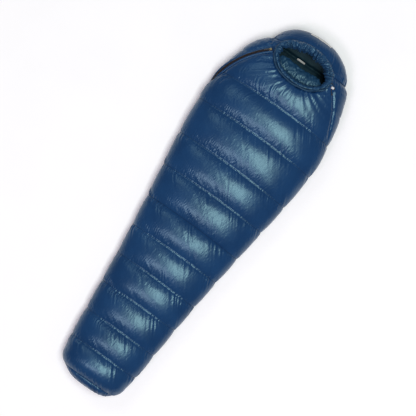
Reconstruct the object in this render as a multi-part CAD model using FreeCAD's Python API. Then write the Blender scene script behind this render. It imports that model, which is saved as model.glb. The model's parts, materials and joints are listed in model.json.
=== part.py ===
"""A mummy sleeping bag, lying on its back with the hood open and the zip closed.

+Z is up and +Y runs towards the head. The origin is under the middle of the bag, on the ground.
The bag is a row of down chambers between a shell and a lining, with mesh walls at the seams,
a hood with a face opening drawn in by a cord, a draft collar, and a two-way zip down the left side.
All lengths are in millimetres.
"""

import FreeCAD
import Part

import math
import os

V = FreeCAD.Vector

# Overall shape
HALF_LENGTH = 1050.0
SEAMS = [-860, -715, -555, -400, -240, -80, 95, 265, 460, 635, 775, 912]
FOOT_SEAM = -1005.0
HOOD_SEAM = SEAMS[-1]
OUTLINE = [(-930, 185), (-860, 199), (-715, 212), (-400, 241), (-80, 280), (265, 327), (420, 341),
           (525, 347), (635, 333), (775, 305), (860, 272), (912, 240)]
HEIGHTS = [(-930, 202), (-700, 193), (-400, 195), (-80, 208), (265, 222), (525, 230), (775, 226),
           (850, 218), (912, 214)]
SECTION_CENTRE = 0.44      # height of the widest point, as a share of the section's height
TOP_POWER = 2.35           # superellipse powers of the domed top and of the flatter underside
UNDER_POWER = 3.4
SECTION_POINTS = 24

# Rounded ends, as quarter ellipses
FOOT_ROUND = -930.0
FOOT_END_HALF_WIDTH = 84.0
FOOT_END_TOP = 128.0
FOOT_END_BOTTOM = 34.0
HOOD_ROUND_CENTRE = 878.0
HOOD_ROUND_LENGTH = 173.5
HOOD_HALF_WIDTH = 231.0
HOOD_END_TOP = 118.0
HOOD_END_BOTTOM = 62.0

# Layers
SKIN = 0.8                 # shell and lining cloth
GAP = 1.5                  # between cloth and fill
LOFT = 50.0                # from the shell to the lining, in the middle of a chamber
LOFT_AT_SEAM = 42.0
FOOT_STATIONS = [-1025, -1041, -1050]
HOOD_STATIONS = [945, 985, 1015, 1036, 1046, 1050]
CAVITY_FOOT, CAVITY_HOOD = -985.0, 988.0               # ends of the room inside
PINCH_SIDE, PINCH_TOP, PINCH_UNDER = 8.0, 22.0, 13.0   # how far a seam is drawn in
SAG_UNDER = 5.0            # how far a chamber would hang below the ground, and is flattened there
WALL = 1.0                 # baffle wall of mesh
WALL_GAP = 0.5
SIDE_SEAM_Z = 45.0         # the underside's shell reaches this high

# Face opening
FACE_CENTRE_Y = 868.0
FACE_HOLE = (150.0, 93.0)  # half-axes of the hole
HEM_AXES = (157.0, 100.0)  # half-axes of the hem's centreline
HEM_Z = 209.0
HEM_SLOPE = -0.12          # the hem drops towards the crown
HEM_R, HEM_BORE_R, DRAWCORD_R = 9.0, 2.6, 1.6

# Zip. Its frame is t along the zip towards the head, n out of the bag, b = n x t.
SLOT_HALF, SLOT_DEPTH, SLOT_TOP = 13.0, 9.0, 60.0
TAPE_IN, TAPE_OUT, TAPE_HALF_T = 0.9, 12.7, 0.5
COIL_IN, COIL_OUT, COIL_TOP = 0.5, 3.2, 2.9
TUBE_HALF, TUBE_TOP, TUBE_BOTTOM = 11.0, -3.4, -8.7    # the draft tube lies under the tapes
ARC_TOP_XY, ARC_MID_XY, ARC_END_XY = (-180, 848), (-261, 761), (-322, 640)
ARC_SINK = 5.0             # the zip lies this far under the chambers' crowns
ARC_TILT = 52.0            # from the arc's radius to the tape's normal, in degrees
RUN_TOP, RUN_END = V(-333, 500, 60), V(-194, -790, 60)
BLEND_STATIONS = 7
COIL_PAST, STOP_PAST, TAPE_PAST, SLOT_PAST = 7.6, 10.6, 12.0, 16.0   # each ends this far past a slider
STOP_CLEARANCE = 0.15
LOWER_TRAVEL = 1180.0
UPPER_ANGLE_LEFT = 3.0     # the upper slider stops this far above the end of the arc, in degrees

# Zip slider and pull, heights over the middle of the tape
SLIDER_HALF_L, SLIDER_HALF_W = 7.0, 6.0
UPPER_WING, LOWER_WING = (3.4, 5.0), (-2.8, -1.2)
FLANGE_AT, FLANGE_HALF_T, FLANGE_BOTTOM = 4.6, 0.7, 1.1
DIVIDER_HALF_T, DIVIDER_L = 0.25, 3.5
BRIDGE_HALF_L, BRIDGE_HALF_W, BRIDGE_TOP = 5.0, 1.1, 10.4
WINDOW_HALF_L, WINDOW = 3.4, (5.9, 9.3)
CORNER_R = 2.4
PULL_L, PULL_HALF_W, PULL_HALF_T = 30.0, 3.5, 0.9
ARM_AT, ARM_HALF_W, ARM_BACK, ARM_FRONT = 3.2, 0.8, 9.0, 1.4
PIN_R, PIN_N = 1.0, 8.0
EYE_R, EYE_FROM_END = 1.6, 5.5

# Hood cord, from the hem through the cordlock to its end
CORD_R = 1.1
EXIT_ANGLE = 6.0           # where the cord leaves the hem, in degrees from the bag's left
EXIT_DIR = V(0.975, 0.10, -0.13).normalize()
LOCK_DIR = V(0.06, -0.995, -0.05).normalize()
TAIL_DIR = V(0.76, -0.62, -0.18).normalize()
EXIT_RUN, LOCK_RUN, TAIL_RUN = 14.0, 33.0, 14.0
EYELET_R, EYELET_HOLE_R, EYELET_FLANGE_R, EYELET_FLANGE_T = 2.9, 1.3, 4.2, 0.8
BEAD_L, BEAD_R = 8.0, 3.4

# Cordlock: a barrel across the cord, with a sprung plunger in it
LOCK_AT = 16.5             # from the bend to the middle of the lock
LOCK_TRAVEL = 7.0
BARREL_R, BARREL_BOTTOM, BARREL_TOP = 6.3, -9.0, 5.0
BORE_R, BORE_BOTTOM = 4.3, -7.8
CROSS_HOLE_R = 1.6
PLUNGER_R, PLUNGER_BOTTOM, PLUNGER_TOP = 4.0, -3.0, 8.5
BUTTON_R, BUTTON_T = 5.6, 2.2
BUTTON_TRAVEL = 2.5
PLUNGER_HOLE = (-1.25, 3.9)
SPRING_R, SPRING_WIRE_R, SPRING_TURNS = 2.9, 0.35, 4   # square wire, and half its width

# Draft collar: one roll over the neck and one behind it
FRONT_ROLL = dict(centre_y=818, z=166, half_span=128, rise=20, half_depth=46, half_height=20)
BACK_ROLL = dict(centre_y=792, z=74, half_span=160, rise=26, half_depth=34, half_height=13)
COLLAR_BORE_R, COLLAR_CORD_R = 2.2, 1.2
COLLAR_INSET = 1.0         # the front roll stays this far inside the hole

# Labels
CROWN_LABEL_HALF_W, CROWN_LABEL_Y, CROWN_LABEL_Z = 60.0, (1019, 1042), 120.0
CROWN_LABEL_LIFT, CROWN_LABEL_T = 0.2, 0.6
INNER_LABEL = (-46, 0, 899, 913)
INNER_LABEL_T = 0.6


def smooth(points, y):
    """A curve through the points: cubic pieces whose slope at a point is its neighbours' slope."""
    n = len(points)
    if y <= points[0][0]:
        return float(points[0][1])
    if y >= points[-1][0]:
        return float(points[-1][1])
    i = max(k for k in range(n - 1) if points[k][0] <= y)

    def slope(k):
        a, b = points[max(k - 1, 0)], points[min(k + 1, n - 1)]
        return (b[1] - a[1]) / (b[0] - a[0])

    (y0, v0), (y1, v1) = points[i], points[i + 1]
    h = y1 - y0
    u = (y - y0) / h
    return ((2 * u**3 - 3 * u**2 + 1) * v0 + (u**3 - 2 * u**2 + u) * h * slope(i)
            + (3 * u**2 - 2 * u**3) * v1 + (u**3 - u**2) * h * slope(i + 1))


def quarter(y, start, end, at_start, at_end):
    """A quarter ellipse from at_start, level, to at_end."""
    u = min(1.0, max(0.0, (y - start) / (end - start)))
    return at_end + (at_start - at_end) * math.sqrt(1 - u * u)


def half_width(y):
    if y < FOOT_ROUND:
        return quarter(y, FOOT_ROUND, -HALF_LENGTH, OUTLINE[0][1], FOOT_END_HALF_WIDTH)
    if y > HOOD_SEAM:
        return quarter(y, HOOD_ROUND_CENTRE, HOOD_ROUND_CENTRE + HOOD_ROUND_LENGTH, HOOD_HALF_WIDTH, 0)
    return smooth(OUTLINE, y)


def top(y):
    if y < FOOT_ROUND:
        return quarter(y, FOOT_ROUND, -HALF_LENGTH, HEIGHTS[0][1], FOOT_END_TOP)
    if y > 850:
        return quarter(y, 850, HALF_LENGTH, HEIGHTS[-2][1], HOOD_END_TOP)
    return smooth(HEIGHTS, y)


def bottom(y):
    if y < FOOT_SEAM:
        return quarter(y, FOOT_SEAM, -HALF_LENGTH, -SAG_UNDER, FOOT_END_BOTTOM)
    if y > HOOD_SEAM:
        return quarter(y, HOOD_SEAM, HALF_LENGTH, -SAG_UNDER, HOOD_END_BOTTOM)
    return -SAG_UNDER


def section(y, inset, side=0.0, above=0.0, under=0.0):
    """The bag's outline at y, drawn in by inset all round and by more at the side, above and under."""
    a = half_width(y) - inset - side
    high, low = top(y) - inset - above, bottom(y) + inset + under
    centre = low + SECTION_CENTRE * (high - low)
    points = []
    for k in range(SECTION_POINTS):
        angle = 2 * math.pi * k / SECTION_POINTS
        c, s = math.cos(angle), math.sin(angle)
        power = 2 / (TOP_POWER if s >= 0 else UNDER_POWER)
        reach = high - centre if s >= 0 else centre - low
        points.append(V(a * math.copysign(abs(c) ** power, c), y,
                        centre + reach * math.copysign(abs(s) ** power, s)))
    curve = Part.BSplineCurve()
    curve.interpolate(points, PeriodicFlag=True)
    return Part.Wire([curve.toShape()])


def shell_wire(y, inset, at_seam):
    pinch = (PINCH_SIDE, PINCH_TOP, PINCH_UNDER) if at_seam else (0, 0, 0)
    return section(y, inset, *pinch)


def lining_wire(y, inset, at_seam):
    return section(y, (LOFT_AT_SEAM if at_seam else LOFT) + inset)


def clipped(solid, z):
    """The part of the solid above z: the ground flattens what would hang lower."""
    box = Part.makeBox(1000, 2400, 400, V(-500, -1200, z))
    return solid.common(box)


class Chamber:
    """One ring of the bag between two seams, as lofts through its sections."""

    def __init__(self, name, stations):
        self.name, self.stations = name, stations

    def outer(self, inset, shorten=0.0):
        wires = self.wires(shell_wire, inset, shorten)
        return clipped(Part.makeLoft(wires, True, False), inset)

    def inner(self, inset):
        """The room inside, which ends short of the foot and of the crown."""
        stations = [(min(max(y, CAVITY_FOOT + inset), CAVITY_HOOD - inset), seam) for y, seam in self.stations]
        kept = [s for k, s in enumerate(stations) if k == 0 or s[0] > stations[k - 1][0]]
        return Part.makeLoft([lining_wire(y, inset, seam) for y, seam in kept], True, False)

    def wires(self, make, inset, shorten):
        made = []
        for k, (y, at_seam) in enumerate(self.stations):
            if shorten and k == 0:
                y += shorten
            if shorten and k == len(self.stations) - 1:
                y -= shorten
            made.append(make(y, inset, at_seam))
        return made


def chambers():
    rings = []
    edges = [FOOT_SEAM] + SEAMS
    for k in range(len(edges) - 1):
        y0, y1 = edges[k], edges[k + 1]
        rings.append(Chamber("down_chamber_%02d" % (k + 1), [(y0, True), ((y0 + y1) / 2, False), (y1, True)]))
    return rings


# ---------------------------------------------------------------- zip path


def surface_z(x, y):
    """Height of the chambers' crowns over the point x, y."""
    high, low = top(y), bottom(y)
    centre = low + SECTION_CENTRE * (high - low)
    share = min(0.9999, abs(x) / half_width(y))
    return centre + (high - centre) * (1 - share**TOP_POWER) ** (1 / TOP_POWER)


def arc_point(xy):
    return V(xy[0], xy[1], surface_z(*xy) - ARC_SINK)


class ZipArc:
    """The curved top stretch of the zip, as an arc through three points on the shoulder."""

    def __init__(self):
        a, m, b = arc_point(ARC_TOP_XY), arc_point(ARC_MID_XY), arc_point(ARC_END_XY)
        circle = Part.Arc(a, m, b).toShape().Curve
        self.centre, self.radius = circle.Center, circle.Radius
        ra, rb = (a - self.centre).normalize(), (b - self.centre).normalize()
        self.angle = math.degrees(math.acos(ra.dot(rb)))
        self.axis = ra.cross(rb).normalize()   # turning about it carries the top of the zip down
        self.start = ra

    def at(self, degrees):
        """(point, t, n, b) at this angle below the top of the zip."""
        turn = FreeCAD.Rotation(self.axis, degrees)
        radial = turn.multVec(self.start)
        t = radial.cross(self.axis).normalize()
        side = self.axis if self.axis.z > 0 else self.axis * -1
        tilt = math.radians(ARC_TILT)
        n = radial * math.cos(tilt) + side * math.sin(tilt)
        return self.centre + radial * self.radius, t, n, n.cross(t)


def run_frame():
    t = (RUN_TOP - RUN_END).normalize()
    n = V(0, 0, 1).cross(t).normalize()
    return t, n, n.cross(t)


def blend_frames(arc):
    """Frames from the end of the arc to the top of the straight run, along a cubic curve."""
    p0, t0, n0, _ = arc.at(arc.angle)
    t1, n1, _ = run_frame()
    p3 = RUN_TOP
    reach = p0.distanceToPoint(p3) / 3
    p1, p2 = p0 - t0 * reach, p3 + t1 * reach
    frames = []
    for k in range(BLEND_STATIONS):
        u = k / (BLEND_STATIONS - 1)
        point = p0 * (1 - u)**3 + p1 * 3 * u * (1 - u)**2 + p2 * 3 * u * u * (1 - u) + p3 * u**3
        along = (p1 - p0) * 3 * (1 - u)**2 + (p2 - p1) * 6 * u * (1 - u) + (p3 - p2) * 3 * u * u
        t = (along * -1).normalize()
        n = n0 * (1 - u) + n1 * u
        n = (n - t * n.dot(t)).normalize()
        frames.append((point, t, n, n.cross(t)))
    return frames


def bar_wire(frame, b0, b1, n0, n1):
    point, _, n, b = frame
    corners = [(b0, n0), (b1, n0), (b1, n1), (b0, n1), (b0, n0)]
    return Part.makePolygon([point + b * x + n * y for x, y in corners])


def zip_bar(arc, b_range, n_range, past):
    """A bar of rectangular section along the whole zip: its arc, blend and straight stretches."""
    size = (*b_range, *n_range)
    extra = math.degrees(past / arc.radius)
    curved = Part.Face(bar_wire(arc.at(-extra), *size)).revolve(arc.centre, arc.axis, arc.angle + extra)
    wires = [bar_wire(frame, *size) for frame in blend_frames(arc)]
    blended = Part.makeLoft(wires, True, False)
    t, _, _ = run_frame()
    straight = Part.Face(wires[-1]).extrude(t * -(RUN_TOP.distanceToPoint(RUN_END) + past))
    return [curved, blended, straight]


def joined(pieces):
    return pieces[0].fuse(pieces[1:]).removeSplitter()


def both_sides(b_in, b_out):
    """The b ranges of a piece that the zip has on each side."""
    return {"head_side": (b_in, b_out), "foot_side": (-b_out, -b_in)}


def foot_end_frame():
    t, n, b = run_frame()
    return RUN_END, t * -1, n, b * -1


def zip_pieces(arc):
    pieces = {}
    tapes, coils = both_sides(TAPE_IN, TAPE_OUT), both_sides(COIL_IN, COIL_OUT)
    for side in tapes:
        pieces["zip_tape_" + side] = joined(zip_bar(arc, tapes[side], (-TAPE_HALF_T, TAPE_HALF_T), TAPE_PAST))
        pieces["zip_coil_" + side] = joined(zip_bar(arc, coils[side], (TAPE_HALF_T, COIL_TOP), COIL_PAST))
    pieces["zip_draft_tube"] = joined(zip_bar(arc, (-TUBE_HALF, TUBE_HALF), (TUBE_BOTTOM, TUBE_TOP), TAPE_PAST))
    stop = [box(COIL_PAST + STOP_CLEARANCE, STOP_PAST, *span, TAPE_HALF_T + 0.02, COIL_TOP)
            for span in coils.values()]
    pieces["zip_stops"] = Part.makeCompound([placed(s, *frame) for s in stop
                                             for frame in (arc.at(0), foot_end_frame())])
    return pieces


# ---------------------------------------------------------------- small parts in their own frames


def placed(shape, point, t, n, b):
    """Moves a shape made with X along t, Y along n x t and Z along n."""
    matrix = FreeCAD.Matrix(t.x, b.x, n.x, point.x, t.y, b.y, n.y, point.y, t.z, b.z, n.z, point.z, 0, 0, 0, 1)
    moved = shape.copy()
    moved.Placement = FreeCAD.Placement(matrix).multiply(shape.Placement)
    return moved


def box(x0, x1, y0, y1, z0, z1):
    return Part.makeBox(x1 - x0, y1 - y0, z1 - z0, V(x0, y0, z0))


def rounded(plate, radius, keep=lambda edge: True):
    """The plate with its upright corners rounded."""
    upright = [e for e in plate.Edges if abs(e.tangentAt(e.FirstParameter).z) > 0.9 and keep(e)]
    return plate.makeFillet(radius, upright)


def slider_body():
    """Zip slider, nose along +X: two wings, a divider, flanges and the bridge that holds the pull."""
    h, w = SLIDER_HALF_L, SLIDER_HALF_W
    upper, lower = [rounded(box(-h, h, -w, w, *wing), CORNER_R) for wing in (UPPER_WING, LOWER_WING)]
    divider = box(h - 0.5 - DIVIDER_L, h - 0.5, -DIVIDER_HALF_T, DIVIDER_HALF_T, LOWER_WING[1] - 0.2,
                  UPPER_WING[0] + 0.2)
    flanges = [box(CORNER_R - h, h - CORNER_R, y - FLANGE_HALF_T, y + FLANGE_HALF_T, FLANGE_BOTTOM,
                   UPPER_WING[0] + 0.1) for y in (-FLANGE_AT, FLANGE_AT)]
    bridge = box(-BRIDGE_HALF_L, BRIDGE_HALF_L, -BRIDGE_HALF_W, BRIDGE_HALF_W, UPPER_WING[1] - 0.1, BRIDGE_TOP)
    bridge = bridge.cut(box(-WINDOW_HALF_L, WINDOW_HALF_L, -w, w, *WINDOW))
    return upper.fuse([lower, divider, bridge] + flanges).removeSplitter()


def pull_tab():
    """Pull, lying back along -X from its pin: two arms on a pin through the bridge, and a tab."""
    low, high = PIN_N - PULL_HALF_T, PIN_N + PULL_HALF_T
    pin = Part.makeCylinder(PIN_R, 2 * ARM_AT, V(0, -ARM_AT, PIN_N), V(0, 1, 0))
    arms = [box(-ARM_BACK, ARM_FRONT, y - ARM_HALF_W, y + ARM_HALF_W, low, high) for y in (-ARM_AT, ARM_AT)]
    tab = box(-PULL_L, 2 - ARM_BACK, -PULL_HALF_W, PULL_HALF_W, low, high)
    tab = rounded(tab, CORNER_R, lambda edge: edge.BoundBox.XMin < 1 - PULL_L)
    tab = tab.cut(Part.makeCylinder(EYE_R, 10, V(EYE_FROM_END - PULL_L, 0, PIN_N - 5)))
    return tab.fuse([pin] + arms).removeSplitter()


# ---------------------------------------------------------------- face opening


def hem_point(angle):
    x, y = HEM_AXES[0] * math.cos(angle), HEM_AXES[1] * math.sin(angle)
    return V(x, FACE_CENTRE_Y + y, HEM_Z + HEM_SLOPE * y)


def hem_ring(radius):
    """A tube of this radius round the face opening, on the hem's tilted oval."""
    turn = math.atan(HEM_SLOPE)
    oval = Part.Ellipse(V(0, 0, 0), HEM_AXES[0], HEM_AXES[1] / math.cos(turn)).toShape(math.pi, 3 * math.pi)
    circle = Part.Wire([Part.makeCircle(radius, V(-HEM_AXES[0], 0, 0), V(0, 1, 0))])
    ring = Part.Wire([oval]).makePipeShell([circle], True, False)
    ring.rotate(V(0, 0, 0), V(1, 0, 0), math.degrees(turn))
    ring.translate(V(0, FACE_CENTRE_Y, HEM_Z))
    return ring


def face_hole(inset=0.0):
    """The opening's oval prism, from the crown down into the room inside."""
    a, b = [half_axis - inset for half_axis in FACE_HOLE]
    matrix = FreeCAD.Matrix(a, 0, 0, 0, 0, b, 0, FACE_CENTRE_Y, 0, 0, 1, 110, 0, 0, 0, 1)
    return Part.makeCylinder(1, 300).transformGeometry(matrix)


def rod(start, direction, length, radius):
    return Part.makeCylinder(radius, length, start, direction)


def cord_corners():
    """The free cord's route: out of the hem, through the lock, and aside to its end."""
    start = hem_point(math.radians(EXIT_ANGLE)) + EXIT_DIR * (HEM_R + EYELET_FLANGE_T)
    bend = start + EXIT_DIR * EXIT_RUN
    turn = bend + LOCK_DIR * LOCK_RUN
    return [start, bend, turn, turn + TAIL_DIR * TAIL_RUN]


def cord_tube(corners, radius):
    """A tube of straight runs and tangent arcs, each arc as large as its two runs allow."""
    edges, at = [], corners[0]
    for before, corner, after in zip(corners, corners[1:], corners[2:]):
        into, out = (corner - before).normalize(), (after - corner).normalize()
        trim = 0.45 * min(corner.distanceToPoint(before), corner.distanceToPoint(after))
        half_turn = into.getAngle(out) / 2
        bend_radius = trim / math.tan(half_turn)
        print("cord arc: radius %.1f, %.1f diameters" % (bend_radius, bend_radius / (2 * radius)))
        first, last = corner - into * trim, corner + out * trim
        inward = (out - into).normalize()
        middle = corner + inward * (bend_radius / math.cos(half_turn) - bend_radius)
        edges += [Part.LineSegment(at, first).toShape(), Part.Arc(first, middle, last).toShape()]
        at = last
    edges.append(Part.LineSegment(at, corners[-1]).toShape())
    path = Part.Wire(edges)
    start = Part.Wire([Part.makeCircle(radius, corners[0], corners[1] - corners[0])])
    tube = path.makePipeShell([start], True, False)
    print("cord: length %.1f, volume over section times length %.4f"
          % (path.Length, tube.Volume / (math.pi * radius**2 * path.Length)))
    return tube


def hood_cord_pieces():
    pieces = {}
    root = hem_point(math.radians(EXIT_ANGLE))
    face = HEM_R + EYELET_FLANGE_T
    eyelet = rod(root + EXIT_DIR * (HEM_BORE_R + 1), EXIT_DIR, face - HEM_BORE_R - 1, EYELET_R)
    eyelet = eyelet.fuse(rod(root + EXIT_DIR * (HEM_R + 0.05), EXIT_DIR, face - HEM_R - 0.05, EYELET_FLANGE_R))
    pieces["cord_eyelet"] = eyelet.cut(rod(root, EXIT_DIR, face + 1, EYELET_HOLE_R)).removeSplitter()
    hem = hem_ring(HEM_R).cut(hem_ring(HEM_BORE_R))
    pieces["face_hem"] = hem.cut(rod(root, EXIT_DIR, face, EYELET_R + 0.02))
    pieces["hood_drawcord"] = hem_ring(DRAWCORD_R).fuse(rod(root, EXIT_DIR, face, CORD_R)).removeSplitter()
    corners = cord_corners()
    pieces["hood_cord_tail"] = cord_tube(corners, CORD_R)
    bead = rod(corners[-1], TAIL_DIR, BEAD_L, BEAD_R)
    pieces["hood_cord_end"] = bead.makeFillet(1.2, bead.Edges)
    return pieces


def lock_frame():
    """The cordlock's frame: X along the cord, Z along the barrel, its button outwards."""
    outward = V(0.94, 0, -0.34)
    axis = (outward - LOCK_DIR * outward.dot(LOCK_DIR)).normalize()
    middle = cord_corners()[1] + LOCK_DIR * LOCK_AT
    return middle, LOCK_DIR, axis, axis.cross(LOCK_DIR)


def cordlock_pieces():
    frame = lock_frame()
    up = V(0, 0, 1)
    barrel = rod(up * BARREL_BOTTOM, up, BARREL_TOP - BARREL_BOTTOM, BARREL_R)
    barrel = barrel.makeFillet(1.0, [e for e in barrel.Edges if e.Closed])
    barrel = barrel.cut(rod(up * BORE_BOTTOM, up, 20, BORE_R))
    barrel = barrel.cut(rod(V(-10, 0, 0), V(1, 0, 0), 20, CROSS_HOLE_R))
    plunger = rod(up * PLUNGER_BOTTOM, up, PLUNGER_TOP - PLUNGER_BOTTOM, PLUNGER_R)
    plunger = plunger.cut(box(-10, 10, -CROSS_HOLE_R, CROSS_HOLE_R, *PLUNGER_HOLE))
    button = rod(up * PLUNGER_TOP, up, BUTTON_T, BUTTON_R)
    plunger = plunger.fuse(button.makeFillet(0.8, button.Edges)).removeSplitter()
    height = PLUNGER_BOTTOM - BORE_BOTTOM - 2 * SPRING_WIRE_R - 0.1
    helix = Part.makeHelix(height / SPRING_TURNS, height, SPRING_R)
    r = SPRING_WIRE_R
    corners = [(-r, -r), (r, -r), (r, r), (-r, r), (-r, -r)]
    wire = Part.makePolygon([V(SPRING_R + x, 0, z) for x, z in corners])
    spring = Part.Wire(helix.Edges).makePipeShell([wire], True, True)
    spring.translate(up * (BORE_BOTTOM + SPRING_WIRE_R + 0.05))
    shapes = {"cordlock_barrel": barrel, "cordlock_plunger": plunger, "cordlock_spring": spring}
    return {name: placed(shape, *frame) for name, shape in shapes.items()}


# ---------------------------------------------------------------- collar and labels


def roll(centre_y, z, half_span, rise, half_depth, half_height):
    """A sausage of oval section on an arc across the bag, its middle towards the foot."""
    radius = (half_span**2 + rise**2) / (2 * rise)
    half_angle = math.degrees(math.asin(half_span / radius))
    oval = Part.Ellipse(V(0, 0, 0), half_depth, half_height).toShape()
    oval.rotate(V(0, 0, 0), V(1, 0, 0), 90)
    oval.rotate(V(0, 0, 0), V(0, 0, 1), 90)
    oval.translate(V(0, centre_y, z))
    axis_at = V(0, centre_y + radius, z)
    start = Part.Face(Part.Wire([oval]))
    start.rotate(axis_at, V(0, 0, 1), -half_angle)
    return start.revolve(axis_at, V(0, 0, 1), 2 * half_angle)


def bore_of(size, radius):
    return roll(**{**size, "half_depth": radius + 0.001, "half_height": radius})


def collar_pieces():
    fitted = face_hole(COLLAR_INSET)
    front = roll(**FRONT_ROLL).common(fitted).cut(bore_of(FRONT_ROLL, COLLAR_BORE_R))
    return {"draft_collar_front": front, "draft_collar_back": roll(**BACK_ROLL),
            "collar_drawcord": bore_of(FRONT_ROLL, COLLAR_CORD_R).common(fitted)}


def label_pieces(hood):
    lift = CROWN_LABEL_LIFT
    wrap = hood.outer(-lift - CROWN_LABEL_T).cut(hood.outer(-lift))
    x = CROWN_LABEL_HALF_W
    crown = wrap.common(box(-x, x, *CROWN_LABEL_Y, CROWN_LABEL_Z, 300))
    floor = bottom(0) + LOFT + GAP + SKIN
    inner = box(*INNER_LABEL, floor + 3, floor + 3 + INNER_LABEL_T)
    return {"crown_label": crown, "inner_label": inner}


# ---------------------------------------------------------------- whole bag


def cloth_and_fill(arc):
    """Shell, down, mesh walls and lining, opened for the face and grooved for the zip."""
    hole, hem_room = face_hole(), hem_ring(HEM_R + 0.3)
    groove = zip_bar(arc, (-SLOT_HALF, SLOT_HALF), (-SLOT_DEPTH, SLOT_TOP), SLOT_PAST)

    def opened(solid, y0, y1):
        if y1 > 500:
            solid = solid.cut(groove[0]).cut(groove[1])
        if y0 < 520 and y1 > RUN_END.y - SLOT_PAST:
            solid = solid.cut(groove[2])
        if y1 > 700:
            solid = solid.cut(hole).cut(hem_room)
        return solid

    foot = Chamber("down_foot_cap", [(FOOT_SEAM, True)] + [(y, False) for y in FOOT_STATIONS])
    hood = Chamber("down_hood_crown", [(HOOD_SEAM, True)] + [(y, False) for y in HOOD_STATIONS])
    nodes, rings = {}, chambers()
    for ring in rings:
        fill = ring.outer(SKIN + GAP, WALL / 2 + WALL_GAP).cut(ring.inner(0))
        nodes[ring.name] = opened(fill, ring.stations[0][0], ring.stations[-1][0])
    nodes[foot.name] = foot.outer(SKIN + GAP, WALL / 2 + WALL_GAP)
    inside_hood = hood.inner(0)
    nodes[hood.name] = opened(hood.outer(SKIN + GAP, WALL / 2 + WALL_GAP).cut(inside_hood), HOOD_SEAM, HALF_LENGTH)

    for k, y in enumerate(SEAMS):
        outer, inner = Part.Face(shell_wire(y, SKIN + GAP, True)), Part.Face(lining_wire(y, 0, True))
        wall = outer.extrude(V(0, WALL, 0)).cut(inner.extrude(V(0, WALL, 0)))
        wall.translate(V(0, -WALL / 2, 0))
        nodes["baffle_wall_%02d" % (k + 1)] = opened(clipped(wall, SKIN + GAP), y, y)

    shell = joined([ring.outer(0) for ring in rings]).cut(joined([ring.outer(SKIN) for ring in rings]))
    shell = opened(shell, FOOT_SEAM, HOOD_SEAM)
    below = box(-500, 500, -1200, 1200, -50, SIDE_SEAM_Z)
    nodes["underside_shell"] = shell.common(below)
    nodes["top_shell"] = shell.cut(below)
    nodes["foot_panel_shell"] = foot.outer(0).cut(foot.outer(SKIN))
    nodes["hood_shell"] = opened(hood.outer(0).cut(hood.outer(SKIN)), HOOD_SEAM, HALF_LENGTH)
    lining = joined([ring.inner(GAP) for ring in rings])
    nodes["body_lining"] = lining.cut(joined([ring.inner(GAP + SKIN) for ring in rings])).cut(hole)
    nodes["hood_lining"] = hood.inner(GAP).cut(hood.inner(GAP + SKIN)).cut(hole)
    nodes.update(label_pieces(hood))
    return nodes


def main():
    os.makedirs("parts", exist_ok=True)
    arc = ZipArc()
    nodes = cloth_and_fill(arc)
    nodes.update(zip_pieces(arc))
    upper, lower = arc.at(0), foot_end_frame()
    for name, frame in (("upper", upper), ("lower", lower)):
        nodes[name + "_slider"] = placed(slider_body(), *frame)
        nodes[name + "_slider_pull"] = placed(pull_tab(), *frame)
    nodes.update(hood_cord_pieces())
    nodes.update(cordlock_pieces())
    nodes.update(collar_pieces())
    for name, shape in nodes.items():
        shape.exportStep("parts/%s.step" % name)
    return nodes


if __name__ == "__main__":
    main()
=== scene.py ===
"""Looks of the down mummy sleeping bag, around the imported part, in metres and in its frame.
X runs across the bag, Y from the foot (-Y) to the hood (+Y), Z up. The bag lies on z = 0."""

import json
import math

import bmesh
import bpy
import numpy as np
from mathutils import Matrix, Vector
from mathutils.bvhtree import BVHTree


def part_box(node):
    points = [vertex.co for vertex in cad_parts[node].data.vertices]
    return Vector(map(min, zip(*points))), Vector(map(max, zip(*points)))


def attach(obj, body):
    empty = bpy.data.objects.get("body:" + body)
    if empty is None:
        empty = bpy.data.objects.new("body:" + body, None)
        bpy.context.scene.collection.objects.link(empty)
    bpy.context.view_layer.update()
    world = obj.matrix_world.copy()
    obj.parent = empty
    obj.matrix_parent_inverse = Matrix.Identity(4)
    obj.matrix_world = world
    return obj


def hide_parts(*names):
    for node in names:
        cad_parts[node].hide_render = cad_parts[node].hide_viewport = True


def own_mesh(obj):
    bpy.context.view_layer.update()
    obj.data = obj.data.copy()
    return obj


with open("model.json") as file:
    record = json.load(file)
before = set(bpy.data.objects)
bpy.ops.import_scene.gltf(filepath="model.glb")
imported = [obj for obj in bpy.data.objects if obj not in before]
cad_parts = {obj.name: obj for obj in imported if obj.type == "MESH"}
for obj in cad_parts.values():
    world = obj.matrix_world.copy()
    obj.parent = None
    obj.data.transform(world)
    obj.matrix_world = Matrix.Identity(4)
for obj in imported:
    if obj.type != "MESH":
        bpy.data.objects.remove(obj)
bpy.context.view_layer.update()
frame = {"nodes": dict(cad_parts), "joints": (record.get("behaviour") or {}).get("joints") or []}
NODES = frame["nodes"]
AXES = {joint["name"]: np.array(joint["axis"]) for joint in frame["joints"]}
COLLECTION = bpy.context.scene.collection
TURN = 2 * np.pi

# ------------------------ numbers

# The camera looks straight down
CAMERA_RIGHT, CAMERA_UP = (0.823, 0.568, 0), (-0.568, 0.823, 0)
CAMERA_AIM, CAMERA_DISTANCE, VIEW_WIDTH, SENSOR = (0.0106, 0.0328, 0.09), 6.0, 2.08, 36

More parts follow.
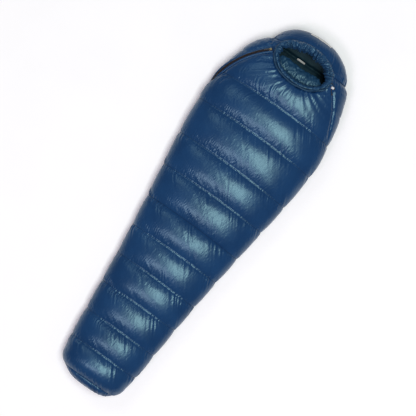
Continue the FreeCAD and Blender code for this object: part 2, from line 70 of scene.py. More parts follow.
# The bag's outline: half widths and heights at stations along it
OUTLINE = [(-0.930, 0.185), (-0.860, 0.199), (-0.715, 0.212), (-0.400, 0.241), (-0.080, 0.280),
           (0.265, 0.327), (0.420, 0.341), (0.525, 0.347), (0.635, 0.333), (0.775, 0.305), (0.860, 0.272),
           (0.912, 0.240)]
HEIGHTS = [(-0.930, 0.202), (-0.700, 0.193), (-0.400, 0.195), (-0.080, 0.208), (0.265, 0.222),
           (0.525, 0.230), (0.775, 0.226), (0.850, 0.218)]
GROUND = -0.005            # a chamber would hang this low, and is flattened at 0
CENTRE_SHARE = 0.44        # of the height, where the bag is widest
TOP_POWER, UNDER_POWER = 2.35, 3.4      # how boxy the girth is above and below that
FOOT_ROUND, FOOT_POLE, FOOT_SEAM, FOOT_CENTRE_Z = -0.930, -1.0495, -1.005, 0.078
HOOD_ROUND, HOOD_HALF, HOOD_POLE, HOOD_CENTRE_Z = 0.878, 0.231, 1.0495, 0.095
DOME_POWER = 2.2
WALLS = ["baffle_wall_%02d" % k for k in range(1, 13)]
SEAMS = [(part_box(wall)[0].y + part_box(wall)[1].y) / 2 for wall in WALLS]
PINCH = (0.008, 0.020, 0.013)              # a seam's depth at the side, on top and underneath
SHOULDER_PINCH = (0.020, 0.006, 0.013)     # at the hood's seam
CHEST_PINCH = (0.007, 0.0, 0.013)          # at the shoulder seam, which runs only round the back

# Shell cloth
COLUMNS, ROW_STEP = 248, 0.0072
EXTRA_LENGTH, EXTRA_GIRTH = 1.06, 1.02     # cloth cut longer than the chamber it covers
SHELL_PRESSURE, SHELL_FRAMES, SHELL_CAP = 14.0, 15, 0.026
# How far each seam bows from straight, from the foot's pole to the hood's
SWAY = [0, -0.004, -0.006, -0.003, -0.007, -0.005, -0.008, -0.006, -0.010, -0.008, -0.004, 0, 0, 0]

# Gathers along the seams, and the two seams that run slanting beside the face opening
PUCKER_SLANT = 0.62        # the gathers lean to the bag's right side as they run towards the hood
PUCKER_LENGTH, PUCKER_HEIGHT, PUCKER_REACH = 0.0185, 0.0022, 0.036
CHEST_SEAM = [(0.186, 0.859), (0.221, 0.816), (0.250, 0.774), (0.279, 0.716), (0.300, 0.659), (0.314, 0.609)]
NECK_SEAM = [(-0.214, 0.913), (-0.200, 0.880), (-0.181, 0.849)]

# Face opening
FACE_Y = 0.868
HEM_AXES, HEM_Z, HEM_SLOPE, HEM_R = (0.157, 0.100), 0.209, -0.12, 0.0072
FACE_HOLE = (0.150, 0.093)
HEM_SCALE = 0.125          # metres outside the hem for each unit of hem_radius
RIM_DEPTH = 0.044          # where the rim's facing meets the throat

# Profiles of the rim's facing, each point (towards the middle, up) from the hem's centre line
RIM_AT_CROWN = [(-0.0100, -0.002), (-0.0095, 0.0075), (-0.002, 0.0145), (0.009, 0.0165), (0.019, 0.0130),
                (0.028, 0.0020), (0.032, -0.014), (0.027, -0.030), (0.017, -0.041), (0.007, -0.046)]
RIM_AT_CHIN = [(0.0075, 0.0030), (0.010, 0.0040), (0.014, 0.0030), (0.019, 0.0000), (0.023, -0.006),
               (0.025, -0.014), (0.024, -0.025), (0.019, -0.035), (0.012, -0.042), (0.007, -0.046)]

# Zip
ARC_XY = ((-0.180, 0.848), (-0.261, 0.761), (-0.322, 0.640))
ARC_SINK, ARC_TILT = 0.005, math.radians(52)
RUN_TOP, RUN_END = Vector((-0.333, 0.500, 0.060)), Vector((-0.194, -0.790, 0.060))
TAPE_PAST, COIL_PAST = 0.012, 0.0076
TAPE_IN, TAPE_OUT = 0.0009, 0.0127
ZIP_PIN_HALF, ZIP_VALLEY, ZIP_LEVEL = 0.0105, 0.030, -0.0035
COIL_PITCH = 0.0024

# Profiles of a welt and of a coil's loop, each point (across the zip, out of it)
WELT = [(0.0062, 0.0007), (0.0064, 0.0015), (0.0078, 0.0020), (0.0105, 0.0021), (0.0132, 0.0018),
        (0.0150, 0.0002), (0.0172, -0.0045), (0.0150, -0.0045), (0.0132, 0.0007)]
COIL_LOOP = [(0.00015, 0.0010), (0.0006, 0.0019), (0.0016, 0.00235), (0.0026, 0.0023), (0.0032, 0.0015),
             (0.0029, 0.00075)]
COIL_HALF = [0.00045, 0.00062, 0.00055, 0.00055, 0.0005, 0.0005]     # half a loop's thickness along the zip

# Hood cord and cord lock
HOOD_CORD = [(0.165804, 0.879444, 0.206457), (0.179610, 0.880860, 0.204616), (0.180452, 0.866903, 0.203915),
             (0.181233, 0.853943, 0.203263), (0.181594, 0.847961, 0.202963), (0.192264, 0.839257, 0.200436)]
CORD_DIAMETER, CORD_LENGTH = 0.0022, 0.057
LOCK_MIDDLE = np.array([0.180602, 0.864411, 0.203789])
LOCK_ALONG, LOCK_AXIS = AXES["cordlock_slide"], -AXES["cordlock_press"]
LOCK_CLEAR = 0.0072        # the shell stays this far below the lock's middle
SPRING_TURNS, SPRING_RADIUS, SPRING_WIRE, SPRING_PRESSED = 4, 0.0029, 0.00033, 0.0025
SPRING_LOW, SPRING_HIGH = -0.0074, -0.0034

rng = np.random.default_rng(11)


# ------------------------ camera and hood cord

def make_camera():
    data = bpy.data.cameras.new("camera")
    camera = bpy.data.objects.new("camera", data)
    COLLECTION.objects.link(camera)
    data.sensor_width = SENSOR
    data.lens = SENSOR * CAMERA_DISTANCE / VIEW_WIDTH
    data.clip_end = 50
    back = Vector((0, 0, 1))
    right, up = Vector(CAMERA_RIGHT).normalized(), Vector(CAMERA_UP).normalized()
    place = Matrix((right, up, back)).transposed().to_4x4()
    place.translation = Vector(CAMERA_AIM) + back * CAMERA_DISTANCE
    camera.matrix_world = place
    bpy.context.scene.camera = camera


def make_hood_cord(material):
    curve = bpy.data.curves.new("hood_cord", "CURVE")
    curve.dimensions = "3D"
    spline = curve.splines.new("NURBS")
    spline.points.add(len(HOOD_CORD) - 1)
    for point, xyz in zip(spline.points, HOOD_CORD):
        point.co = (*xyz, 1)
    spline.order_u = 3
    spline.use_endpoint_u = True
    spline.resolution_u = 16
    curve.bevel_depth = CORD_DIAMETER / 2
    curve.bevel_resolution = 4
    curve.use_fill_caps = True
    cord = bpy.data.objects.new("hood_cord", curve)
    COLLECTION.objects.link(cord)
    curve.materials.append(material)
    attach(cord, "bag")
    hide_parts("hood_cord_tail")


# ------------------------ outline of the bag

def hermite(points, y):
    """A smooth curve through the points."""
    x, v = np.array(points, float).T
    slope = np.gradient(v, x)
    slope[1:-1] = (v[2:] - v[:-2]) / (x[2:] - x[:-2])
    y = np.clip(y, x[0], x[-1])
    i = np.clip(np.searchsorted(x, y) - 1, 0, len(x) - 2)
    h = x[i + 1] - x[i]
    u = (y - x[i]) / h
    return ((2 * u**3 - 3 * u**2 + 1) * v[i] + (u**3 - 2 * u**2 + u) * h * slope[i]
            + (3 * u**2 - 2 * u**3) * v[i + 1] + (u**3 - u**2) * h * slope[i + 1])


def dome(y, start, end, power=DOME_POWER):
    """1 at start, falling to 0 at end like the side of a dome."""
    u = np.clip((y - start) / (end - start), 0, 1)
    return (1 - u**power) ** (1 / power)


def half_width(y):
    """Half the bag's width at each y."""
    y = np.asarray(y, float)
    foot = OUTLINE[0][1] * dome(y, FOOT_ROUND, FOOT_POLE)
    hood = HOOD_HALF * dome(y, HOOD_ROUND, HOOD_POLE, 2)
    return np.where(y < FOOT_ROUND, foot, np.where(y > SEAMS[-1], hood, hermite(OUTLINE, y)))


def crown(y):
    """The height of the bag's top at each y."""
    y = np.asarray(y, float)
    foot = FOOT_CENTRE_Z + (HEIGHTS[0][1] - FOOT_CENTRE_Z) * dome(y, FOOT_ROUND, FOOT_POLE)
    hood_start, hood_height = HEIGHTS[-1]
    hood = HOOD_CENTRE_Z + (hood_height - HOOD_CENTRE_Z) * dome(y, hood_start, HOOD_POLE)
    return np.where(y < FOOT_ROUND, foot, np.where(y > hood_start, hood, hermite(HEIGHTS, y)))


def ground(y):
    """The height of the bag's underside at each y."""
    y = np.asarray(y, float)
    foot = FOOT_CENTRE_Z + (GROUND - FOOT_CENTRE_Z) * dome(y, FOOT_SEAM, FOOT_POLE, 2)
    hood = HOOD_CENTRE_Z + (GROUND - HOOD_CENTRE_Z) * dome(y, SEAMS[-1], HOOD_POLE, 2)
    return np.where(y < FOOT_SEAM, foot, np.where(y > SEAMS[-1], hood, GROUND))


def sections(y, side, above, under, shares):
    """Points at shares of each outline's girth, and the girths, drawn in by side, above and under."""
    a = np.maximum(half_width(y) - side, 0.002)
    low, high = ground(y) + under, crown(y) - above
    high = np.maximum(high, low + 0.004)
    centre = low + CENTRE_SHARE * (high - low)
    angle = np.linspace(0, TURN, 721)
    s, c = np.sin(angle), np.cos(angle)
    power = np.where(c >= 0, 2 / TOP_POWER, 2 / UNDER_POWER)
    x = a[:, None] * np.sign(s) * abs(s) ** power
    reach = np.where(c >= 0, (high - centre)[:, None], (centre - low)[:, None])
    z = centre[:, None] + reach * np.sign(c) * abs(c) ** power
    walked = np.cumsum(np.hypot(np.diff(x, axis=1), np.diff(z, axis=1)), axis=1)
    walked = np.concatenate([np.zeros((len(y), 1)), walked], axis=1)
    points = np.empty((len(y), len(shares), 3))
    for j, girth in enumerate(walked[:, -1]):
        points[j, :, 0] = np.interp(shares * girth, walked[j], x[j])
        points[j, :, 2] = np.interp(shares * girth, walked[j], z[j])
    points[:, :, 1] = y[:, None]
    return points, walked[:, -1]


def girth_shares(count, under_density):
    """Shares of the girth for the columns, which lie wider apart underneath."""
    fine = np.linspace(0, 1, 2001)
    density = 1 - (1 - under_density) * np.clip((0.19 - abs(fine - 0.5)) / 0.03, 0, 1)
    reached = np.concatenate([[0], np.cumsum((density[1:] + density[:-1]) / 2)])
    return np.interp(np.linspace(0, 1, count, endpoint=False), reached / reached[-1], fine)


def rows_between(edges, step):
    """(y, place between two edges, index of the lower edge) of rows about step apart on the bag's surface."""
    ys, us, ks = [], [], []
    for k in range(len(edges) - 1):
        fine = np.linspace(edges[k], edges[k + 1], 600)
        reached = np.cumsum(np.hypot(np.diff(fine), np.diff(half_width(fine))))
        reached = np.concatenate([[0], reached])
        count = max(3, round(reached[-1] / step))
        u = np.arange(count) / count
        ys.append(np.interp(u * reached[-1], reached, fine))
        us.append(u)
        ks.append(np.full(count, k))
    return np.append(np.concatenate(ys), edges[-1]), np.append(np.concatenate(us), 0), \
        np.append(np.concatenate(ks), len(edges) - 1)


# ------------------------ mesh helpers

def turns(count):
    """Angles evenly round a full turn."""
    return np.linspace(0, TURN, count, endpoint=False)


def unit(vectors):
    return vectors / np.maximum(np.linalg.norm(vectors, axis=-1, keepdims=True), 1e-9)


def smooth(share):
    return share * share * (3 - 2 * share)


def distances(line):
    """How far along the line each of its points is."""
    return np.concatenate([[0], np.cumsum(np.linalg.norm(np.diff(line, axis=0), axis=1))])


def points_on(line, reached, s):
    """Points at the distances s along a line, or any rows of three that go with it."""
    return np.stack([np.interp(s, reached, line[:, k]) for k in range(3)], -1)


def grid_faces(rows, columns, close_columns=True, close_rows=False):
    """The four-sided faces of a grid of points, closed into a tube or a ring where asked."""
    idx = np.arange(rows * columns).reshape(rows, columns)
    if close_rows:
        idx = np.concatenate([idx, idx[:1]])
    if close_columns:
        idx = np.concatenate([idx, idx[:, :1]], axis=1)
    return np.stack([idx[:-1, :-1], idx[:-1, 1:], idx[1:, 1:], idx[1:, :-1]], -1).reshape(-1, 4)


def mesh_object(name, points, faces, material, flip=False):
    """A smooth mesh of the points that its faces use."""
    points = np.asarray(points, float).reshape(-1, 3)
    faces = np.asarray(faces)
    if flip:
        faces = faces[:, ::-1]
    used = np.unique(faces)
    place = np.full(len(points), -1)
    place[used] = np.arange(len(used))
    mesh = bpy.data.meshes.new(name)
    mesh.from_pydata(points[used].tolist(), [], place[faces].tolist())
    mesh.shade_smooth()
    mesh.materials.append(material)
    made = bpy.data.objects.new(name, mesh)
    COLLECTION.objects.link(made)
    return made


def belongs(piece, body, slot, *nodes):
    """Puts the piece on a body, in place of the CAD nodes. The slot argument is not used."""
    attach(piece, body)
    if nodes:
        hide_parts(*nodes)
    return piece


def wobble(x, shortest, longest, count=7):
    """A seeded curve of waves between two lengths, about -1 to 1, over the places x."""
    total = np.zeros_like(np.asarray(x, float))
    for length in np.geomspace(shortest, longest, count):
        total = total + np.sin(TURN * (x / (length * rng.uniform(0.9, 1.1)) + rng.uniform()))
    return total / math.sqrt(count) * 0.8


def wobble_loop(angle, count_low, count_high, waves=5):
    """A seeded curve round a closed loop, about -1 to 1."""
    total = np.zeros_like(angle)
    for _ in range(waves):
        total = total + np.sin(rng.integers(count_low, count_high + 1) * angle + rng.uniform(0, TURN))
    return total / math.sqrt(waves)


def folds(angle, count_low, count_high, waves=5):
    """A seeded curve round a closed loop, with sharp valleys between its folds, from 0 to 1."""
    highest = 1.3
    return np.clip(abs(wobble_loop(angle, count_low, count_high, waves)), 0, highest) / highest


def crumple(points, faces, shortest, longest, amount, count=12):
    """Points pushed in and out along their normals by seeded waves from all directions."""
    total = np.zeros(points.shape[:-1])
    for length in np.geomspace(shortest, longest, count):
        way = rng.normal(size=3)
        total += np.sin(TURN * points @ way / np.linalg.norm(way) / length + rng.uniform(0, TURN))
    height = 0.5 - np.clip(abs(total) / math.sqrt(count), 0, 1.5)
    return points + normals_of(points, faces) * (height * amount)[..., None]


def settle(name, start, rest, faces, pinned, pressure, frames, cap, bending=0.04):
    """Where the points are once the cloth, cut to the rest shape, is blown out from the start shape."""
    shape = start.shape
    start, rest = start.reshape(-1, 3), rest.reshape(-1, 3)
    used = np.unique(faces)
    place = np.full(len(start), -1)
    place[used] = np.arange(len(used))
    mesh = bpy.data.meshes.new(name + "_cloth")
    mesh.from_pydata(start[used].tolist(), [], place[faces].tolist())
    cloth = bpy.data.objects.new(name + "_cloth", mesh)
    COLLECTION.objects.link(cloth)
    cloth.shape_key_add(name="Basis")
    key = cloth.shape_key_add(name="rest")
    key.data.foreach_set("co", rest[used].astype(np.float32).ravel())
    key.value = 0
    group = cloth.vertex_groups.new(name="pin")
    group.add(place[used[pinned.ravel()[used]]].tolist(), 1.0, "REPLACE")
    modifier = cloth.modifiers.new("cloth", "CLOTH")
    settings = modifier.settings
    settings.quality = 4
    settings.mass = 0.15
    settings.tension_stiffness = settings.compression_stiffness = 12
    settings.shear_stiffness = 4
    settings.bending_stiffness = bending
    settings.tension_damping = settings.compression_damping = settings.shear_damping = 5
    settings.bending_damping = 0.5
    settings.air_damping = 3
    settings.use_pressure = True
    settings.uniform_pressure_force = pressure
    settings.vertex_group_mass = "pin"
    settings.rest_shape_key = key
    settings.effector_weights.gravity = 0
    modifier.collision_settings.use_collision = False
    modifier.collision_settings.use_self_collision = False
    modifier.point_cache.frame_start, modifier.point_cache.frame_end = 1, frames
    for number in range(1, frames + 1):
        bpy.context.scene.frame_set(number)
    graph = bpy.context.evaluated_depsgraph_get()
    moved = np.empty(len(used) * 3, np.float32)
    cloth.evaluated_get(graph).data.vertices.foreach_get("co", moved)
    bpy.data.objects.remove(cloth)
    bpy.context.scene.frame_set(1)
    way = moved.reshape(-1, 3) - start[used]
    length = np.linalg.norm(way, axis=1, keepdims=True)
    result = start.copy()
    result[used] += way * np.minimum(1, cap / np.maximum(length, 1e-9))
    return result.reshape(shape)


def normals_of(points, faces):
    """Unit normals at the points of a mesh."""
    flat = points.reshape(-1, 3)
    corner = flat[faces]
    across = np.cross(corner[:, 2] - corner[:, 0], corner[:, 3] - corner[:, 1])
    total = np.zeros_like(flat)
    for k in range(4):
        np.add.at(total, faces[:, k], across)
    length = np.linalg.norm(total, axis=1, keepdims=True)
    return (total / np.maximum(length, 1e-12)).reshape(points.shape)


# ------------------------ zip path

def surface_z(x, y):
    """Height of the bag's top over a point."""
    low, high = float(ground(y)), float(crown(y))
    centre = low + CENTRE_SHARE * (high - low)
    return centre + (high - centre) * (1 - (abs(x) / float(half_width(y))) ** TOP_POWER) ** (1 / TOP_POWER)


class Zip:
    """The zip's line, with t towards the head, n out of the bag and b = n x t at every sample."""

    def __init__(self, past, step=0.002):
        a, m, b = (Vector((x, y, surface_z(x, y) - ARC_SINK)) for x, y in ARC_XY)
        to_m, to_b = m - a, b - a
        across = to_m.cross(to_b)
        self.centre = a + (across.cross(to_m) * to_b.length_squared
                           + to_b.cross(across) * to_m.length_squared) / (2 * across.length_squared)
        start = (a - self.centre).normalized()
        radius = (a - self.centre).length
        axis = start.cross((b - self.centre).normalized()).normalized()
        total = start.angle(b - self.centre)
        side = axis if axis.z > 0 else -axis
        points, outs = [], []
        for angle in np.linspace(-past / radius, total, 120):
            radial = Matrix.Rotation(angle, 3, axis) @ start
            points.append(self.centre + radial * radius)
            outs.append(radial * math.cos(ARC_TILT) + side * math.sin(ARC_TILT))
        run = (RUN_TOP - RUN_END).normalized()
        run_out = Vector((0, 0, 1)).cross(run).normalized()
        p0, t0, out0 = points[-1], radial.cross(axis).normalized(), outs[-1]
        reach = (RUN_TOP - p0).length / 3
        p1, p2 = p0 - t0 * reach, RUN_TOP + run * reach
        for u in np.linspace(0, 1, 60)[1:]:
            v = 1 - u
            points.append(p0 * v**3 + p1 * (3 * u * v * v) + p2 * (3 * u * u * v) + RUN_TOP * u**3)
            outs.append(out0 * v + run_out * u)
        points.append(RUN_END - run * past)
        outs.append(run_out)
        points, outs = np.array(points), np.array(outs)
        reached = distances(points)
        self.length = reached[-1]
        self.s = np.arange(0, self.length, step)
        self.p = points_on(points, reached, self.s)
        t = -np.gradient(self.p, axis=0)
        self.t = t / np.linalg.norm(t, axis=1, keepdims=True)
        n = points_on(outs, reached, self.s)
        n -= self.t * (n * self.t).sum(1, keepdims=True)
        self.n = n / np.linalg.norm(n, axis=1, keepdims=True)
        self.b = np.cross(self.n, self.t)

    def at(self, s, b, n):
        """Points at distances s along the zip, offset by b across it and n out of it."""
        s, b, n = np.broadcast_arrays(s, b, n)
        middle, across, out = (points_on(source, self.s, s) for source in (self.p, self.b, self.n))
        return middle + across * b[..., None] + out * n[..., None]

    def seen_from(self, points):
        """(nearest sample, b, n, true if beside the zip) of points."""
        flat = points.reshape(-1, 3)
        near = np.zeros(len(flat), int)
        coarse = self.p[::3]
        for k in range(0, len(flat), 4000):
            apart = ((flat[k:k + 4000, None] - coarse[None]) ** 2).sum(-1)
            near[k:k + 4000] = apart.argmin(1) * 3
        off = flat - self.p[near]
        along = (off * self.t[near]).sum(1)
        beside = abs(along) < 0.006
        found = near, (off * self.b[near]).sum(1), (off * self.n[near]).sum(1), beside
        return [values.reshape(points.shape[:-1]) for values in found]


# ------------------------ quilted shell

def face_ring(axes, inward, angle, z):
    """Points round the face opening."""
    return np.stack(np.broadcast_arrays((axes[0] - inward) * np.cos(angle),
                                        FACE_Y + (axes[1] - inward) * np.sin(angle), z), -1)


def face_angle(points, axes=HEM_AXES):
    return np.arctan2((points[..., 1] - FACE_Y) / axes[1], points[..., 0] / axes[0])


def hem_point(angle, inward=0.0, up=0.0):
    """Points on the hem's centre line, moved inward and up."""
    return face_ring(HEM_AXES, inward, angle, HEM_Z + HEM_SLOPE * HEM_AXES[1] * np.sin(angle) + up)


def hem_radius(points, axes=HEM_AXES):
    """A point's place from the middle of the face opening, where 1 is its edge."""
    return np.hypot(points[..., 0] / axes[0], (points[..., 1] - FACE_Y) / axes[1])


def cut_opening(points, faces, axes, above):
    """Faces without those inside the opening, the points on its edge, and which faces were kept."""
    radius = hem_radius(points, axes).ravel()
    inside = (radius < 0.985) & (points[..., 2].ravel() > above)
    gone = inside[faces].any(1)
    kept = faces[~gone]
    edge = np.zeros(len(radius), bool)
    edge[np.intersect1d(np.unique(faces[gone]), np.unique(kept))] = True
    return kept, edge.reshape(points.shape[:-1]), np.flatnonzero(~gone)


def seam_sway(points):
    """Seams aren't straight: they bow towards the foot at the sides, each by its own amount."""
    y, x = points[..., 1], points[..., 0]
    share = x / np.maximum(half_width(y), 0.02)
    lift = np.clip((points[..., 2] - 0.03) / 0.06, 0, 1)
    tilt = hermite(list(zip([FOOT_POLE, *SEAMS, HOOD_POLE], SWAY)), y)
    fade = np.clip((y - FOOT_POLE) / 0.08, 0, 1) * np.clip((0.80 - y) / 0.10, 0, 1)
    points[..., 1] += lift * fade * (tilt * share - 0.010 * share**2)
    return points


def shell_grid(zip_line):
    """The shell cloth before it is blown out: its points, cut shape, faces, pins and places on the bag."""
    edges = [FOOT_POLE, FOOT_SEAM, *SEAMS, HOOD_POLE]
    pinches = np.array([(0, 0, 0)] + [PINCH] * (len(edges) - 4) + [CHEST_PINCH, SHOULDER_PINCH, (0, 0, 0)])
    y, u, k = rows_between(edges, ROW_STEP)
    shares = girth_shares(COLUMNS, 0.4)
    upper = np.minimum(k + 1, len(edges) - 1)
    pillow = 1 - 0.8 * np.sqrt(np.clip(1 - (2 * u - 1) ** 2, 0, 1))
    pinch = (pinches[k] * (1 - u)[:, None] + pinches[upper] * u[:, None]) * pillow[:, None]
    start, girth = sections(y, *pinch.T, shares)
    start[..., 2] = np.maximum(start[..., 2], 0.0005)
    rest, _ = sections(y, *np.zeros((3, len(y))), shares)
    rest[..., [0, 2]] *= EXTRA_GIRTH
    stretched = y[0] + np.concatenate([[0], np.cumsum(np.diff(y) * EXTRA_LENGTH)])
    rest[..., 1] = stretched[:, None]
    faces = grid_faces(len(y), COLUMNS)

    faces, edge, cells = cut_opening(start, faces, HEM_AXES, 0.12)
    distance = np.maximum(hem_radius(start) - 1, 0) * HEM_SCALE
    near = np.exp(-distance / 0.095) * (start[..., 2] > 0.09)
    outward = unit(np.stack([start[..., 0], start[..., 1] - FACE_Y], -1))
    rest[..., :2] += outward * 0.026 * near[..., None]
    rest[..., 2] += 0.060 * near
    start[edge] = hem_point(face_angle(start[edge]), inward=-0.004, up=-0.0085)
    start = seam_sway(start)

    seam = (u == 0)[:, None] & np.ones(COLUMNS, bool)
    high_free = (k[:, None] == len(edges) - 3) & (start[..., 2] > 0.13)
    hood_free = (k[:, None] == len(edges) - 2) & (start[..., 2] > 0.185)
    pinned = (seam & ~high_free & ~hood_free) | (start[..., 2] < 0.012) | edge
    pinned |= ((y < FOOT_POLE + 0.006) | (y > HOOD_POLE - 0.008))[:, None]

    along, b, n, beside = zip_line.seen_from(start)
    reachable = beside & (abs(n) < 0.05) & (abs(b) < ZIP_VALLEY)
    fall = np.clip((ZIP_VALLEY - abs(b)) / (ZIP_VALLEY - ZIP_PIN_HALF), 0, 1)
    start += np.where(reachable, (ZIP_LEVEL - n) * smooth(fall), 0)[..., None] * zip_line.n[along]
    pinned |= reachable & (abs(b) < ZIP_PIN_HALF)
    start += rng.normal(0, 0.0003, start.shape) * ~pinned[..., None]
    arc = shares[None, :] * girth[:, None]
    return dict(start=start, rest=rest, faces=faces, cells=cells, pinned=pinned, edge=edge, arc=arc,
                girth=girth, u=u, k=k)


def seam_puckers(points, grid, zip_line):
    """Short slanting gathers that run away from the seams, in tufts with smooth cloth between them."""
    normal = normals_of(points, grid["faces"])
    u, k = grid["u"], grid["k"]
    edges = np.array([FOOT_POLE, FOOT_SEAM, *SEAMS, HOOD_POLE])
    length = np.append(np.diff(edges), 0.1)[k]
    total = np.zeros(points.shape[:2])
    for distance, index, sign in ((u * length, k, 1), ((1 - u) * length, k + 1, -1)):
        for seam in range(1, len(edges) - 1):
            rows = index == seam
            shoulder = seam == len(edges) - 3
            if shoulder or not rows.any():
                continue
            arc, away = grid["arc"][rows], distance[rows][:, None]
            leaning = arc + sign * PUCKER_SLANT * away
            tuft = np.clip(0.62 + 0.60 * wobble(leaning, 0.12, 0.5, 4), 0.10, 1.4)
            reach = np.clip(PUCKER_REACH * (1 + 0.55 * wobble(leaning, 0.03, 0.2, 5)), 0.012, 0.080)
            phase = leaning / PUCKER_LENGTH + 0.9 * wobble(leaning, 0.06, 0.25, 4)
            wave = np.sin(TURN * phase) + 0.5 * wobble(leaning, 0.020, 0.050, 4)
            fade = np.exp(-((away / reach) ** 1.3)) * (1 - np.exp(-away / 0.005))
            total[rows] += wave * fade * tuft * PUCKER_HEIGHT
    top_only = np.clip((points[..., 2] - 0.02) / 0.04, 0, 1)
    _, b, n, beside = zip_line.seen_from(points)
    quiet = np.where(beside & (abs(n) < 0.05), np.clip((abs(b) - 0.014) / 0.02, 0, 1), 1) * ~grid["edge"]
    return points + normal * (total * top_only * quiet)[..., None]


def hem_gathers(points, grid):
    """Gathers that run out from the hem's drawcord, longest over the chest."""
    normal = normals_of(points, grid["faces"])
    angle = face_angle(points)
    distance = np.maximum(hem_radius(points) - 1, 0) * HEM_SCALE
    bend = angle + distance * 1.2 * np.sin(3 * angle + 0.7)
    wave = folds(bend, 14, 30) - 0.45 + 0.6 * (folds(bend, 34, 60) - 0.45)
    reach = 0.048 + 0.018 * np.cos(angle + math.pi / 2) + 0.014 * np.sin(5 * angle)
    fade = np.exp(-distance / reach) * np.clip(distance / 0.008, 0, 1) * (points[..., 2] > 0.1)
    shoulder = np.exp(-((angle + 2.75) / 0.55) ** 2)
    long_folds = np.sin(23 * bend + 0.6) + 0.5 * np.sin(37 * bend + 2.0)
    pulled = shoulder * long_folds * np.exp(-distance / 0.10) * np.clip(distance / 0.02, 0, 1)
    return points + normal * (wave * fade * 0.0058 + pulled * 0.0028 * (points[..., 2] > 0.1))[..., None]


def zip_creases(points, grid, zip_line):
    """Creases on both sides of the zip's curved top."""
    near, b, n, beside = zip_line.seen_from(points)
    normal = normals_of(points, grid["faces"])
    s = zip_line.s[near]
    wave = wobble(s + abs(b) * 0.5, 0.014, 0.045, 6)
    strength = np.where(s < 0.45, 1.0, 0.55)
    fade = np.exp(-abs(b) / 0.035) * np.clip((abs(b) - 0.012) / 0.012, 0, 1) * (beside & (abs(n) < 0.06))
    return points + normal * (wave * fade * strength * 0.0032)[..., None]


def sewn_line(points, faces, line, depth, width=0.0065):
    """A sewn valley along a line seen from above, with small gathers across it."""
    line = np.array(line)
    flat = points.reshape(-1, 3)
    best, place = np.full(len(flat), 9.0), np.zeros(len(flat))
    walked = 0
    for a, b in zip(line[:-1], line[1:]):
        way = b - a
        share = np.clip(((flat[:, :2] - a) @ way) / (way @ way), 0, 1)
        apart = np.linalg.norm(flat[:, :2] - a - share[:, None] * way, axis=1)
        nearer = apart < best
        best[nearer] = apart[nearer]
        place[nearer] = walked + share[nearer] * np.linalg.norm(way)
        walked += np.linalg.norm(way)
    ends = np.clip(place / 0.02, 0.2, 1) * np.clip((walked - place) / (0.35 * walked), 0, 1)
    valley = -depth * np.exp(-((best / width) ** 2))
    gather = wobble(place, 0.012, 0.035, 5) * np.exp(-best / 0.022) * 0.0024 * (1 - np.exp(-best / 0.004))
    shift = ((valley + gather) * ends * (flat[:, 2] > 0.08)).reshape(points.shape[:-1])
    return points + normals_of(points, faces) * shift[..., None]


def press_under_lock(points):
    """The shell pressed down where the cord lock lies and slides."""
    up = np.cross(LOCK_ALONG, LOCK_AXIS)
    up = up if up[2] > 0 else -up
    off = points - LOCK_MIDDLE
    along, across, height = off @ LOCK_ALONG, off @ LOCK_AXIS, off @ up
    near = (np.clip(1 - (abs(along - 0.0035) - 0.012) / 0.012, 0, 1)
            * np.clip(1 - (abs(across + 0.002) - 0.009) / 0.010, 0, 1) * (abs(height) < 0.02))
    return points - (np.maximum(height + LOCK_CLEAR, 0) * smooth(near))[..., None] * up


def lean(points):
    """The stuffed foot lies a little to one side, and so does the hood outside its hem."""
    y = points[..., 1]
    foot = np.clip((-0.96 - y) / 0.08, 0, 1) ** 2
    hood = np.clip((y - 0.82) / 0.11, 0, 1)
    hood = smooth(hood) * np.clip((hem_radius(points) - 1) / 0.5, 0, 1)
    points[..., 0] += 0.014 * foot + 0.015 * hood * np.clip(1 - (y - 0.95) / 0.12, 0.35, 1)
    return points


def between_columns(values, used):
    """A column between every two, on a curve through four neighbours, or straight beside an opening."""
    before, after, next_one = np.roll(values, 1, 1), np.roll(values, -1, 1), np.roll(values, -2, 1)
    straight = (values + after) / 2
    curved = (9 * (values + after) - before - next_one) / 16
    whole = used & np.roll(used, 1, 1) & np.roll(used, -1, 1) & np.roll(used, -2, 1)
    middle = np.where(whole[..., None], curved, straight)
    return np.stack([values, middle], 2).reshape(values.shape[0], -1, values.shape[2])


def finer(points, grid):
    """The shell with twice the columns, for its gathers."""
    used = np.zeros(points.shape[:2], bool)
    used.ravel()[np.unique(grid["faces"])] = True
    kept = np.zeros((len(points) - 1, COLUMNS), bool)
    kept.ravel()[grid["cells"]] = True
    points = between_columns(points, used)
    arc = grid["arc"]
    step = np.append(np.diff(arc, axis=1), (grid["girth"] - arc[:, -1])[:, None], axis=1)
    fine = dict(grid, arc=np.stack([arc, arc + step / 2], 2).reshape(len(arc), -1))
    fine["faces"] = grid_faces(len(points), 2 * COLUMNS)[np.repeat(kept, 2, axis=1).ravel()]
    fine["edge"] = np.repeat(grid["edge"], 2, axis=1)
    return points, fine


